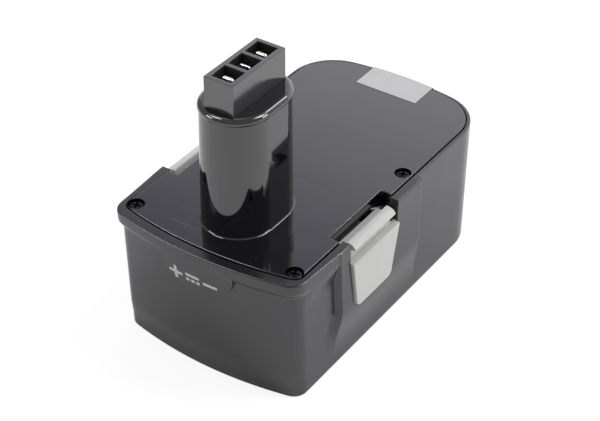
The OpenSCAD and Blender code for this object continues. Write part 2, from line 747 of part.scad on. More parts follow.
// one latch spring on the +X side
module spring(s) {
    r = (spring_d - spring_wire) / 2;
    x0 = cup_floor_x + spring_wire / 2 + skin;
    x1 = ear_back_x - spring_wire / 2 - skin;
    n = 12;
    path = [for (i = [0:n * spring_coils])
        let (a = 360 * i / n, q = i / (n * spring_coils), e = max(0, min(1, (q * spring_coils - 0.75)
            / (spring_coils - 1.5))))
        [x0 + (x1 - x0) * e, latch_y + s * spring_off + r * cos(a), spring_z + r * sin(a)]];
    color([0.75, 0.75, 0.75]) wire(path, spring_wire / 2, 6, [1, 0, 0]);
}

// four cross-recessed screws
module cover_screws() {
    color([0.1, 0.1, 0.1])
    for (p = SCREWS) translate([p[0], p[1], head_z]) difference() {
        union() {
            cylinder(h = head[1] - head_edge[0], r = head[0] / 2);
            translate([0, 0, head[1] - head_edge[0]])
                cylinder(h = head_edge[0], r1 = head[0] / 2, r2 = head[0] / 2 - head_edge[1]);
            translate([0, 0, -shank_l]) cylinder(h = shank_l + sink, r = shank_d / 2);
        }
        for (a = [0, 90])
            rotate([0, 0, a + cross_turn]) translate([-cross[0] / 2, -cross[1] / 2, head[1] - cross[2]])
                cube([cross[0], cross[1], cross[2] + over]);
    }
}

// one round cell; every other cell stands on its button
module cell(i) {
    up = i % 2;
    color([0.7, 0.7, 0.72])
    translate([CELLS[i][0], CELLS[i][1], up == 1 ? cell_z : cell_z + cell_h])
        rotate([up == 1 ? 0 : 180, 0, 0])
        rotate_extrude() polygon(concat([[0, 0]], arc([cell_d / 2 - can_r, can_r], can_r, -90, 0, 3),
            [[cell_d / 2, cell_h - button[1] - can_r]],
            arc([cell_d / 2 - can_r, cell_h - button[1] - can_r], can_r, 0, 90, 3),
            [[button[0] / 2, cell_h - button[1]], [button[0] / 2, cell_h], [0, cell_h]]));
}

// heat-shrink sleeves round the cans
module cell_sleeves() {
    color([0.25, 0.42, 0.3])
    for (p = CELLS) translate([p[0], p[1], cell_z + 2 * can_r]) difference() {
        cylinder(h = cell_h - button[1] - 4 * can_r, r = sleeve_r);
        translate([0, 0, -over]) cylinder(h = cell_h, r = sleeve_r - sleeve_t);
    }
}

// paper rings round the buttons
module insulating_rings() {
    color([0.9, 0.88, 0.8])
    for (i = [0:len(CELLS) - 1])
        translate([CELLS[i][0], CELLS[i][1],
            i % 2 == 1 ? cell_top - button[1] : cell_z + button[1] - ring_t]) difference() {
            cylinder(h = ring_t, r = cell_d / 2 - can_r);
            translate([0, 0, -over]) cylinder(h = ring_t + 2 * over, r = button[0] / 2 + slip);
        }
}

// one flat strap of width w between two points
module strap_between(a, b, z, w) {
    d = b - a;
    translate([a[0], a[1], z]) rotate([0, 0, atan2(d[1], d[0])])
        translate([-w / 2, -w / 2, 0]) cube([norm(d) + w, w, strap[1]]);
}

// welded straps over the cells, with the free minus tab
module straps_top() {
    color([0.8, 0.8, 0.78]) {
        for (i = [1:2:len(CELLS) - 2]) strap_between(CELLS[i], CELLS[i + 1], cell_top, strap[0]);
        strap_between(CELLS[0], CELLS[0] + [sink, 0], cell_top, strap[0]);
    }
}

// welded straps under the cells, with the free plus tab
module straps_bottom() {
    color([0.8, 0.8, 0.78]) {
        for (i = [0:2:len(CELLS) - 3]) strap_between(CELLS[i], CELLS[i + 1], cell_z - strap[1], strap[0]);
        strap_between(CELLS[len(CELLS) - 1], plus_at, cell_z - strap[1], plus_w);
    }
}

// foam bed under the cells
module foam_bed() {
    color([0.3, 0.3, 0.33])
    translate([-cell_pitch - bed_side, front_row_y - bed_reach[0] * cell_pitch, floor_t])
        cube([2 * (cell_pitch + bed_side), (bed_reach[0] + bed_reach[1]) * cell_pitch, bed_t]);
}

// insulating sheet between cells and cover
module insulating_sheet() {
    color([0.85, 0.83, 0.75])
    difference() {
        translate([-cell_pitch - bed_side, front_row_y - bed_reach[0] * cell_pitch, sheet_z])
            cube([2 * (cell_pitch + bed_side), (bed_reach[0] + bed_reach[1]) * cell_pitch, sheet_t]);
        translate([CELLS[0][0], CELLS[0][1], 0]) cylinder(h = far, r = sheet_hole[0]);
        translate([thermal_at[0], thermal_at[1], 0]) cylinder(h = far, r = sheet_hole[1]);
    }
}

// foam block between the front wall and the cells
module front_packing() {
    color([0.28, 0.28, 0.3])
    translate([packing[0], front_row_y - sleeve_r - packing_t - slip, cell_z])
        cube([packing[1], packing_t, cell_h - packing_t]);
}

// thermal switch wedged between four cells
module thermal_switch() {
    color([0.8, 0.8, 0.82])
    translate([thermal_at[0], thermal_at[1], cell_top - thermal_h - thermal_down])
        cylinder(h = thermal_h, r = thermal_d / 2);
}

// straight fall of a lead from its contact into the cover's mouth
function fall(x, y) =
    [[x, y, block_low - lead_fall[0]], [x, y, block_low - lead_fall[1]], [x, y, cover_z + lead_fall[2]]];

// plus lead from its contact down to the last cell
module lead_plus() {
    p = plus_at;
    y = stem_y - pocket_pitch - tab_t(-1) / 2 - lead_d / 2 - skin;
    z = sheet_z + sheet_t + lead_d / 2 + lead_gap;
    color([0.7, 0.1, 0.1])
    wire(smooth(concat(fall(0, y), [[lead_d / 2, y - lead_d / 2, z + lead_d / 2],
        [p[0] - lead_d, p[1] + lead_d, z + lead_d / 8], [p[0], p[1], z - lead_d],
        [p[0], p[1], cell_z + cell_h / 2], [p[0], p[1], cell_z + lead_gap]]), 4), lead_d / 2, 8,
        [0.9, 0.4, 0.05]);
}

// minus lead from its contact to the first cell
module lead_minus() {
    c = CELLS[0];
    y = stem_y + pocket_pitch + tab_t(1) / 2 + lead_d / 2 + skin;
    z = sheet_z + sheet_t + lead_d / 2 + lead_gap;
    e = sheet_z + lead_d / 2 + lead_gap;
    color([0.1, 0.1, 0.1])
    wire(smooth(concat(fall(0, y), [[-lead_d, y - lead_d / 2, z + lead_d], [c[0] / 2, (y + c[1]) / 2, z],
        [c[0] + sheet_hole[0] + lead_d / 2, c[1] + lead_d, z], [c[0] + lead_d / 2, c[1] + lead_d / 4, e],
        [c[0] - lead_d, c[1], e]]), 4), lead_d / 2, 8, [0.4, 0.9, 0.05]);
}

// sensing lead from the middle contact to the thermal switch
module lead_sense() {
    t = thermal_at;
    y = stem_y - tab_t(0) / 2 - sense_d / 2 - skin;
    z = sheet_z + sheet_t + sense_d / 2 + 4 * lead_gap;
    color([0.85, 0.85, 0.8])
    wire(smooth(concat(fall(sense_d, y), [[2 * sense_d, y + sense_d, z + sense_d],
        [t[0] - 2 * sense_d, t[1] - sense_d, z], [t[0], t[1], sheet_z - sense_d / 2],
        [t[0], t[1], cell_top - thermal_down + 3 * lead_gap]]), 4), sense_d / 2, 8, [0.5, -0.85, 0.05]);
}

// blank seal over the rear edge of the cover
module seal_label() {
    color([0.95, 0.95, 0.93])
    intersection() {
        difference() {
            prism(case_ring(-label_gap - label_t, rim_h, 0), rim_h - label_drop,
                cover_z + label_gap + label_t);
            prism(case_ring(-label_gap, rim_h, 0), 0, cover_z + label_gap);
        }
        box([-label_half, rear_y - label_l, 0], [label_half, rear_y + over, far]);
    }
}

lower_case();
top_cover();
contact_holder();
contact(-1);  // contact_plus
contact(0);  // contact_sense
contact(1);  // contact_minus
mirror([1, 0, 0]) latch();  // latch_left
latch();  // latch_right
mirror([1, 0, 0]) spring_plate();  // spring_plate_left
spring_plate();  // spring_plate_right
mirror([1, 0, 0]) spring(-1);  // spring_left_fore
mirror([1, 0, 0]) spring(1);  // spring_left_aft
spring(-1);  // spring_right_fore
spring(1);  // spring_right_aft
cover_screws();
cell(0);  // cell_01
cell(1);  // cell_02
cell(2);  // cell_03
cell(3);  // cell_04
cell(4);  // cell_05
cell(5);  // cell_06
cell(6);  // cell_07
cell(7);  // cell_08
cell(8);  // cell_09
cell(9);  // cell_10
cell(10);  // cell_11
cell(11);  // cell_12
cell(12);  // cell_13
cell(13);  // cell_14
cell(14);  // cell_15
cell_sleeves();
insulating_rings();
straps_top();
straps_bottom();
foam_bed();
insulating_sheet();
front_packing();
thermal_switch();
lead_plus();
lead_minus();
lead_sense();
seal_label();
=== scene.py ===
"""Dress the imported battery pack: moulded shells, sprung latches, blade contacts and the cells inside."""

import json
import logging
import math
from dataclasses import dataclass
from enum import Enum
from typing import Any, Callable, Iterable, Sequence

import bmesh
import bpy
from mathutils import Matrix, Vector
from mathutils.bvhtree import BVHTree


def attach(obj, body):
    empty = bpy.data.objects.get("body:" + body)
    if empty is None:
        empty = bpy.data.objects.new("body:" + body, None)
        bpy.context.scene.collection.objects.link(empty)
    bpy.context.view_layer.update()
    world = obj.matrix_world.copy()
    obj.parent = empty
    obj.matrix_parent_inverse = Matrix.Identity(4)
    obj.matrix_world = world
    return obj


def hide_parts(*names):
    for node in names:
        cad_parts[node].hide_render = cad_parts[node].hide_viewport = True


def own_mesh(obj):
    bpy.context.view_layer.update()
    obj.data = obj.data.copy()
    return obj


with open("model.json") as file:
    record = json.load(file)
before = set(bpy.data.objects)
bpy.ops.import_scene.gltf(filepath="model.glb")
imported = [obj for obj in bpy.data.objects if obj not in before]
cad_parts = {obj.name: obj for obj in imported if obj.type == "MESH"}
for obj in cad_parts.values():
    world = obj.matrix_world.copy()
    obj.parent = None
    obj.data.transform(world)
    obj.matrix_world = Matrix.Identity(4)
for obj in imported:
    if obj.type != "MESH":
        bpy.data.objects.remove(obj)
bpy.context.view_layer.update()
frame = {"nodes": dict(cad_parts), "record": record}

LOG = logging.getLogger("battery_pack")
MM = 0.001
Colour = tuple[float, float, float]
Point = tuple[float, float]
Spot = tuple[float, float, float]
Mesh = bmesh.types.BMesh
Edge = bmesh.types.BMEdge
Piece = bpy.types.Object
WHITE = (1.0, 1.0, 1.0)
# Angles of the rows over a rounded edge
QUARTER = (0.0, 22.5, 45.0, 67.5, 90.0)
# Millimetres that a cutter runs past a face, that a test of place allows, and that corners merge within
OVER = 1.0
HAIR = 0.01
WELD = 0.002


class Body(Enum):
    """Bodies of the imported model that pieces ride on."""

    PACK = "pack"
    LEFT = "latch_left"
    RIGHT = "latch_right"


class Side(Enum):
    """Sides of the pack, with the sign of X."""

    LEFT = -1
    RIGHT = 1

    @property
    def word(self) -> str:
        """The side as it stands in node names."""
        return self.name.lower()

    @property
    def body(self) -> Body:
        """The body of the latch on this side."""
        return Body.RIGHT if self is Side.RIGHT else Body.LEFT


class Cut(Enum):
    """Ways to combine two closed meshes."""

    TAKE = "DIFFERENCE"
    KEEP = "INTERSECT"
    JOIN = "UNION"


class Value:
    """A shader socket that takes part in Python expressions."""

    def __init__(self, shader: "Graph", socket: bpy.types.NodeSocket) -> None:
        """Keep the socket and the graph that owns it."""
        self.shader = shader
        self.socket = socket

    def _math(self, operation: str, first: Any, second: Any) -> "Value":
        """Add one Math node.

        Args:
            operation: Blender's name of the operation.
            first: Left operand, a number or a Value.
            second: Right operand, a number or a Value.

        Returns:
            The result as a Value.
        """
        return self.shader.node("ShaderNodeMath", {"operation": operation}, {0: first, 1: second})

    def __add__(self, other: Any) -> "Value":
        """Return self + other."""
        return self._math("ADD", self, other)

    def __radd__(self, other: Any) -> "Value":
        """Return other + self."""
        return self._math("ADD", other, self)

    def __mul__(self, other: Any) -> "Value":
        """Return self * other."""
        return self._math("MULTIPLY", self, other)

    def __rmul__(self, other: Any) -> "Value":
        """Return other * self."""
        return self._math("MULTIPLY", other, self)


class Graph:
    """A node tree that is built from expressions."""

    def __init__(self, tree: bpy.types.NodeTree) -> None:
        """Keep the tree."""
        self.tree = tree

    def fill(self, node: bpy.types.Node, inputs: dict[Any, Any]) -> None:
        """Set or link a node's sockets.

        Args:
            node: The node to fill.
            inputs: Socket names or numbers with their values or links.
        """
        for key, given in inputs.items():
            if isinstance(given, Value):
                self.tree.links.new(given.socket, node.inputs[key])
            elif isinstance(given, (tuple, list)) and node.inputs[key].type == "RGBA":
                node.inputs[key].default_value = (*given[:3], 1.0)
            else:
                node.inputs[key].default_value = given

    def node(self, kind: str, settings: dict[str, Any] | None = None,
             inputs: dict[Any, Any] | None = None, output: int | str = 0) -> Value:
        """Add any node.

        Args:
            kind: Blender's node type.
            settings: Attributes of the node, set first.
            inputs: Socket names or numbers with their values or links.
            output: Name or number of the output wanted.

        Returns:
            That output as a Value.
        """
        made = self.tree.nodes.new(kind)
        for key, given in (settings or {}).items():
            setattr(made, key, given)
        self.fill(made, inputs or {})
        return Value(self, made.outputs[output])


class Shader(Graph):
    """One node material with a Principled surface."""

    def __init__(self, name: str) -> None:
        """Start an empty material.

        Args:
            name: Name of the material.
        """
        self.material = bpy.data.materials.new(name)
        self.material.use_nodes = True
        super().__init__(self.material.node_tree)
        self.tree.nodes.clear()
        self.output = self.tree.nodes.new("ShaderNodeOutputMaterial")
        self.surface = self.tree.nodes.new("ShaderNodeBsdfPrincipled")
        self.tree.links.new(self.surface.outputs[0], self.output.inputs["Surface"])

    def place(self) -> Value:
        """Object coordinates, in metres."""
        return self.node("ShaderNodeTexCoord", output="Object")

    def stretched(self, vector: Value, scale: Sequence[float]) -> Value:
        """A vector scaled along each axis."""
        return self.node("ShaderNodeMapping", inputs={"Vector": vector, "Scale": tuple(scale)})

    def noise(self, size_mm: float, detail: float = 2.0, rough: float = 0.5,
              vector: Value | None = None) -> Value:
        """Soft noise with features of a given size.

        Args:
            size_mm: Size of one feature.
            detail: Octaves of finer noise.
            rough: Weight of the finer octaves.
            vector: Coordinates, Object coordinates if none are given.

        Returns:
            The noise, from 0 to 1.
        """
        return self.node("ShaderNodeTexNoise", None, {
            "Vector": vector or self.place(), "Scale": 1.0 / (size_mm * MM),
            "Detail": detail, "Roughness": rough})

    def band(self, value: Value, low: float, high: float) -> Value:
        """A smooth step of value from 0 at low to 1 at high."""
        return self.node("ShaderNodeMapRange", {"interpolation_type": "SMOOTHSTEP"}, {
            "Value": value, "From Min": low, "From Max": high, "To Min": 0.0, "To Max": 1.0})

    def mix(self, factor: Value | float, first: Any, second: Any) -> Value:
        """Mix two colours.

        Args:
            factor: Share of the second colour.
            first: First colour or Value.
            second: Second colour or Value.

        Returns:
            The mixed colour.
        """
        return self.node("ShaderNodeMix", {"data_type": "RGBA"}, {0: factor, 6: first, 7: second}, 2)

    def bump(self, height: Value, depth_mm: float, below: Value | None = None) -> Value:
        """A normal disturbed by a height.

        Args:
            height: Height from 0 to 1.
            depth_mm: Real depth that a height of 1 stands for.
            below: Normal from a coarser bump, if any.

        Returns:
            The new normal.
        """
        inputs = {"Strength": 1.0, "Distance": depth_mm * MM, "Height": height}
        if below:
            inputs["Normal"] = below
        return self.node("ShaderNodeBump", None, inputs)

    def finish(self, **inputs: Any) -> bpy.types.Material:
        """Fill the Principled surface.

        Args:
            **inputs: Socket names, with underscores for blanks, and their values.

        Returns:
            The finished material.
        """
        self.fill(self.surface, {key.replace("_", " "): given for key, given in inputs.items()})
        return self.material


@dataclass(frozen=True)
class MouldedPlastic:
    """Injection-moulded plastic with a faint mould texture, handling marks and dust."""

    colour: Colour
    drift: Colour
    roughness: float = 0.4
    marks: float = 0.1
    grain_mm: float = 0.3
    grain_depth_mm: float = 0.003
    dust: float = 0.0
    ior: float = 1.5
    cloud_mm: float = 38.0
    cloud_band: Point = (0.3, 0.7)
    smear_mm: float = 11.0
    smear_band: Point = (0.35, 0.75)
    smear_run: Spot = (1.0, 0.45, 1.0)
    speck_mm: float = 0.7
    speck_band: Point = (0.76, 0.82)
    field_mm: float = 9.0
    field_band: Point = (0.45, 0.7)
    speck_rough: float = 0.3
    flow_mm: float = 26.0
    flow_depth_mm: float = 0.05
    dust_colour: Colour = (0.42, 0.41, 0.4)

    def material(self, name: str) -> bpy.types.Material:
        """Build the node material.

        Args:
            name: Name of the material.

        Returns:
            The material.
        """
        shader = Shader(name)
        run = shader.stretched(shader.place(), self.smear_run)
        smears = shader.noise(self.smear_mm, detail=4.0, rough=0.6, vector=run)
        specks = shader.band(shader.noise(self.speck_mm, detail=1.0), *self.speck_band)
        specks = specks * shader.band(shader.noise(self.field_mm, detail=1.0), *self.field_band)
        clouds = shader.band(shader.noise(self.cloud_mm), *self.cloud_band)
        skin = shader.mix(clouds, self.colour, self.drift)
        dusty = shader.mix(specks * self.dust, skin, self.dust_colour)
        worn = self.marks * shader.band(smears, *self.smear_band)
        rough = self.roughness + worn + specks * self.speck_rough
        flow = shader.bump(shader.noise(self.flow_mm, detail=1.0), self.flow_depth_mm)
        normal = shader.bump(shader.noise(self.grain_mm, rough=0.6), self.grain_depth_mm, flow)
        return shader.finish(Base_Color=dusty, Roughness=rough, Normal=normal, IOR=self.ior)


@dataclass(frozen=True)
class SheetMetal:
    """Plated or bare sheet metal with rolling lines and dulled patches."""

    colour: Colour
    dull: Colour
    roughness: float
    line_mm: float
    run: Spot = (1.0, 1.0, 1.0)
    patch_mm: float = 2.6
    patch_band: Point = (0.4, 0.75)
    patch_share: float = 0.6
    patch_rough: float = 0.12
    line_rough: float = 0.08
    line_depth_mm: float = 0.004

    def material(self, name: str) -> bpy.types.Material:
        """Build the node material.

        Args:
            name: Name of the material.

        Returns:
            The material.
        """
        shader = Shader(name)
        run = shader.stretched(shader.place(), self.run)
        lines = shader.noise(self.line_mm, detail=3.0, rough=0.7, vector=run)
        patches = shader.band(shader.noise(self.patch_mm, detail=3.0), *self.patch_band)
        tone = shader.mix(patches * self.patch_share, self.colour, self.dull)
        rough = self.roughness + self.patch_rough * patches + self.line_rough * lines
        return shader.finish(Base_Color=tone, Metallic=1.0, Roughness=rough,
                             Normal=shader.bump(lines, self.line_depth_mm))


@dataclass(frozen=True)
class Fibrous:
    """Paper, card or foam: a matt sheet with fibres or open cells."""

    colour: Colour
    shade: Colour
    fibre_mm: float
    depth_mm: float
    roughness: float
    cloud_mm: float = 6.0
    cloud_share: float = 0.4
    tone_band: Point = (0.35, 0.7)

    def material(self, name: str) -> bpy.types.Material:
        """Build the node material.

        Args:
            name: Name of the material.

        Returns:
            The material.
        """
        shader = Shader(name)
        fibres = shader.noise(self.fibre_mm, detail=5.0, rough=0.65)
        clouds = shader.noise(self.cloud_mm)
        both = fibres * (1.0 - self.cloud_share) + clouds * self.cloud_share
        tone = shader.mix(shader.band(both, *self.tone_band), self.shade, self.colour)
        return shader.finish(Base_Color=tone, Roughness=self.roughness,
                             Normal=shader.bump(fibres, self.depth_mm))


def pack_finishes() -> dict[str, bpy.types.Material]:
    """Build every finish of the pack.

    Returns:
        The materials by slot name of the record.
    """
    black = MouldedPlastic((0.008, 0.008, 0.0085), (0.0095, 0.009, 0.0125), roughness=0.18, marks=0.08,
                           grain_mm=0.35, grain_depth_mm=0.0012, dust=0.12, ior=1.68)
    gloss = MouldedPlastic((0.002, 0.0024, 0.0024), (0.0032, 0.0032, 0.0052), roughness=0.04, marks=0.03,
                           grain_mm=0.5, grain_depth_mm=0.0003, dust=0.25, ior=1.85)
    block = MouldedPlastic((0.020, 0.020, 0.0205), (0.026, 0.026, 0.027), roughness=0.12, marks=0.06,
                           grain_mm=0.4, grain_depth_mm=0.0008, dust=0.1, ior=2.0)
    grey = MouldedPlastic((0.45, 0.45, 0.433), (0.49, 0.488, 0.473), roughness=0.42, marks=0.12,
                          grain_mm=0.22, grain_depth_mm=0.006)
    inner = MouldedPlastic((0.03, 0.03, 0.031), (0.035, 0.035, 0.037), grain_depth_mm=0.004)
    film = MouldedPlastic((0.02, 0.05, 0.035), (0.025, 0.06, 0.04), roughness=0.3, grain_mm=0.6)
    red = MouldedPlastic((0.42, 0.02, 0.018), (0.5, 0.03, 0.025), roughness=0.38)
    dark = MouldedPlastic((0.02, 0.02, 0.02), (0.03, 0.03, 0.03))
    pale = MouldedPlastic((0.7, 0.69, 0.64), (0.75, 0.74, 0.7))
    nickel = SheetMetal((0.88, 0.86, 0.80), (0.66, 0.63, 0.56), roughness=0.2, line_mm=0.12,
                        run=(1.0, 1.0, 0.08))
    steel = SheetMetal((0.62, 0.62, 0.63), (0.45, 0.45, 0.46), roughness=0.28, line_mm=0.15,
                       run=(1.0, 1.0, 0.05))
    oxide = SheetMetal((0.03, 0.03, 0.032), (0.012, 0.012, 0.013), roughness=0.3, line_mm=0.1)
    paper = Fibrous((0.45, 0.45, 0.447), (0.42, 0.42, 0.417),
                    fibre_mm=0.25, depth_mm=0.004, roughness=0.62)
    # Insulating board kept near black so the pocket seen through the latch slot reads dark: partly the
    # board's own dark grey, partly painted shade
    board_painted_shade = Fibrous((0.05, 0.05, 0.052), (0.03, 0.03, 0.032),
                    fibre_mm=0.4, depth_mm=0.012, roughness=0.8)
    foam = Fibrous((0.07, 0.07, 0.075), (0.02, 0.02, 0.022),
                   fibre_mm=0.45, depth_mm=0.09, roughness=0.95)
    finishes = {
        "case_plastic": black, "cover_plastic": gloss, "block_plastic": block, "contact_nickel": nickel,
        "latch_plastic": grey, "inner_plastic": inner, "spring_steel": steel, "screw_black": oxide,
        "can_steel": steel, "sleeve_film": film, "insulating_paper": board_painted_shade, "strap_nickel": nickel,
        "foam": foam, "lead_red": red, "lead_black": dark, "lead_white": pale, "label_paper": paper,
    }
    return {slot: finish.material(slot) for slot, finish in finishes.items()}


def mesh_data(name: str, mesh: Mesh) -> bpy.types.Mesh:
    """Turn a mesh into mesh data.

    Args:
        name: Name of the data.
        mesh: The mesh, freed here.

    Returns:
        The data.
    """
    data = bpy.data.meshes.new(name)
    mesh.to_mesh(data)
    mesh.free()
    return data


def put(name: str, data: bpy.types.ID) -> Piece:
    """Put a new object into the scene.

    Args:
        name: Name of the object.
        data: Mesh, light or camera that it shows.

    Returns:
        The object.
    """
    made = bpy.data.objects.new(name, data)
    bpy.context.scene.collection.objects.link(made)
    return made


class Workshop:
    """Makes pieces, dresses them and hangs them on their bodies."""

    def __init__(self) -> None:
        """Build the finishes and look up which slot each node has."""
        self.finishes = pack_finishes()
        self.slots = {part["node"]: part["material_slot"] for part in frame["record"]["subparts"]}

    def hand_over(self, name: str, mesh: Mesh, nodes: Sequence[str] = (), slot: str = "",
                  body: Body = Body.PACK, sharp: float = 35.0) -> Piece:
        """Make an object of a mesh, dress it, hang it on its body and hide the nodes that it stands for.

        Args:
            name: Name of the piece.
            mesh: The finished mesh in millimetres, freed here.
            nodes: Nodes that the piece stands for.
            slot: Material slot of the record, that of the first node if none is given.
            body: Body that the piece rides on.
            sharp: Smallest angle of an edge that stays sharp.

        Returns:
            The new object.
        """
        slot = slot or self.slots[nodes[0]]
        bmesh.ops.scale(mesh, vec=(MM, MM, MM), verts=mesh.verts[:])
        data = mesh_data(name, mesh)
        data.shade_smooth()
        data.set_sharp_from_angle(angle=math.radians(sharp))
        data.materials.append(self.finishes[slot])
        piece = put(name, data)
        weigh = piece.modifiers.new("flats", "WEIGHTED_NORMAL")
        weigh.mode = "FACE_AREA"
        weigh.keep_sharp = True
        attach(piece, body.value)
        if nodes:
            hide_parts(*nodes)
        LOG.info("%s: %d faces, %s", name, len(data.polygons), slot)
        return piece

    def dress(self, node: str) -> None:
        """Give a carried-over node its finish.

        Args:
            node: Name of the node.
        """
        found = frame["nodes"][node]
        found.data.materials.clear()
        found.data.materials.append(self.finishes[self.slots[node]])
        LOG.info("%s: node kept, %s", node, self.slots[node])


def combine(mesh: Mesh, other: Mesh, how: Cut) -> Mesh:
    """Cut or join two closed meshes.

    Args:
        mesh: First mesh, freed here.
        other: Second mesh, freed here.
        how: Difference, overlap or union.

    Returns:
        The new mesh.
    """
    first, second = (put("cut", mesh_data("cut", part)) for part in (mesh, other))
    change = first.modifiers.new("cut", "BOOLEAN")
    change.operation = how.value
    change.solver = "EXACT"
    change.object = second
    graph = bpy.context.evaluated_depsgraph_get()
    result = bmesh.new()
    result.from_mesh(first.evaluated_get(graph).to_mesh())
    for spent in (first, second):
        data = spent.data
        bpy.data.objects.remove(spent)
        bpy.data.meshes.remove(data)
    bmesh.ops.remove_doubles(result, verts=result.verts[:], dist=2.0 * WELD)
    return result


def carve(mesh: Mesh, cutters: Iterable[Mesh]) -> Mesh:
    """Cut closed meshes out of another, one after the other.

    Args:
        mesh: The mesh to cut, freed here.
        cutters: The cutters, freed here.

    Returns:
        The new mesh.
    """
    for cutter in cutters:
        mesh = combine(mesh, cutter, Cut.TAKE)
    return mesh


def arc(centre: Point, radius: float, start: float, stop: float, steps: int) -> list[Point]:
    """Points of an arc without its first point, angles in degrees.

    Args:
        centre: Centre of the arc.
        radius: Radius.
        start: First angle.
        stop: Last angle.
        steps: Number of steps.

    Returns:
        The points.
    """
    turns = [math.radians(start + (stop - start) * i / steps) for i in range(1, steps + 1)]
    return [(centre[0] + radius * math.cos(t), centre[1] + radius * math.sin(t)) for t in turns]


def rounding(radius: float, turns: Iterable[float] = QUARTER) -> list[Point]:
    """Set-back and drop of a rounded edge at some angles.

    Args:
        radius: Radius of the edge.
        turns: Angles in degrees, 0 on the side and 90 on the top.

    Returns:
        A pair of set-back and drop for each angle.
    """
    angles = [math.radians(turn) for turn in turns]
    return [(radius * (1.0 - math.cos(t)), radius * (1.0 - math.sin(t))) for t in angles]


def toward(start: Point, stop: Point, distance: float, z: float) -> Spot:
    """A point on the way from one place to another, at one height.

    Args:
        start: First place.
        stop: Second place, which is never passed.
        distance: Distance from the first place.
        z: Height.

    Returns:
        The point.
    """
    way = Vector(stop) - Vector(start)
    point = Vector(start) + way.normalized() * min(distance, way.length)
    return point.x, point.y, z


def upright(place: Sequence[float]) -> Matrix:
    """A place with its flat side turned to the front."""
    return Matrix.Translation(place) @ Matrix.Rotation(math.radians(90.0), 4, "X")


def clamped(value: float) -> float:
    """A number held between 0 and 1."""
    return min(1.0, max(0.0, value))


def step(value: float, low: float, high: float) -> float:
    """A smooth step from 0 at low to 1 at high."""
    t = clamped((value - low) / (high - low))
    return t * t * (3.0 - 2.0 * t)


def spaced(first: float, last: float, count: int) -> list[float]:
    """Evenly spaced numbers after first, up to last."""
    return [first + (last - first) * i / count for i in range(1, count + 1)]


def loft(mesh: Mesh, rings: Sequence[Sequence[Sequence[float]]], closed: bool) -> None:
    """Draw one row of points and extrude it through all the others.

    Args:
        mesh: Mesh to draw in.
        rings: Rows of points, all of the same length.
        closed: Whether each row is a closed ring.
    """
    order = mesh.verts.layers.int.get("order") or mesh.verts.layers.int.new("order")
    row = [mesh.verts.new(p) for p in rings[0]]
    for i, vert in enumerate(row):
        vert[order] = i
    pairs = list(zip(row, row[1:] + row[:1])) if closed else list(zip(row, row[1:]))
    edges = [mesh.edges.new(pair) for pair in pairs]
    for ring in rings[1:]:
        made = bmesh.ops.extrude_edge_only(mesh, edges=edges)["geom"]
        fresh = [item for item in made if isinstance(item, bmesh.types.BMVert)]
        for vert in fresh:
            vert.co = ring[vert[order]]
        inside = set(fresh)
        edges = [item for item in made if isinstance(item, Edge)
                 and item.verts[0] in inside and item.verts[1] in inside]


def outward(mesh: Mesh) -> None:
    """Turn all faces outwards."""
    bmesh.ops.recalc_face_normals(mesh, faces=mesh.faces[:])


def close_ends(mesh: Mesh) -> None:
    """Cap every open ring and turn all faces outwards.

    Args:
        mesh: The mesh.
    """
    bmesh.ops.remove_doubles(mesh, verts=mesh.verts[:], dist=WELD)
    bmesh.ops.holes_fill(mesh, edges=[e for e in mesh.edges if e.is_boundary], sides=0)
    outward(mesh)


def lofted(rings: Sequence[Sequence[Sequence[float]]]) -> Mesh:
    """A closed skin over closed rings, with flat ends.

    Args:
        rings: Rings of points, all of the same length.

    Returns:
        The mesh.
    """
    mesh = bmesh.new()
    loft(mesh, rings, True)
    close_ends(mesh)
    return mesh


def prism(points: Sequence[Sequence[float]], along: Sequence[float]) -> Mesh:
    """A closed prism from one flat outline.

    Args:
        points: Corners of the outline in space.
        along: Vector to extrude it by.

    Returns:
        The mesh.
    """
    return lofted([points, [tuple(Vector(p) + Vector(along)) for p in points]])


def brick(low: Sequence[float], high: Sequence[float]) -> Mesh:
    """A closed block between two corners."""
    (x0, y0, z0), (x1, y1, z1) = low, high
    return prism([(x0, y0, z0), (x1, y0, z0), (x1, y1, z0), (x0, y1, z0)], (0.0, 0.0, z1 - z0))


def drum(place: Matrix, radius: float, depth: float, segments: int) -> Mesh:
    """A closed cylinder.

    Args:
        place: Turn and place of its middle.
        radius: Radius.
        depth: Length along its axis.
        segments: Number of sides.

    Returns:
        The mesh.
    """
    mesh = bmesh.new()
    bmesh.ops.create_cone(mesh, cap_ends=True, segments=segments, radius1=radius, radius2=radius,
                          depth=depth, matrix=place)
    return mesh


def both_ends(edge: Edge, test: Callable[[Vector], bool]) -> bool:
    """Whether both ends of an edge pass a test of their place."""
    return all(test(vert.co) for vert in edge.verts)


def across(edge: Edge) -> bool:
    """Whether an edge runs square to the Y axis."""
    return abs(edge.verts[0].co.y - edge.verts[1].co.y) < HAIR


def round_edges(mesh: Mesh, chosen: Callable[[Edge], bool], width: float,
                segments: int = 2, least: float = 40.0) -> None:
    """Round the sharp edges that are chosen.

    Args:
        mesh: The mesh.
        chosen: Says whether a sharp edge is rounded.
        width: Width of the rounding.
        segments: Steps across it.
        least: Smallest turn of a sharp edge, in degrees.
    """
    edges = [e for e in mesh.edges if len(e.link_faces) == 2
             and e.calc_face_angle(0.0) > math.radians(least) and chosen(e)]
    bmesh.ops.bevel(mesh, geom=edges, offset=width, offset_type="OFFSET", segments=segments, profile=0.5,
                    affect="EDGES", material=-1, clamp_overlap=True)


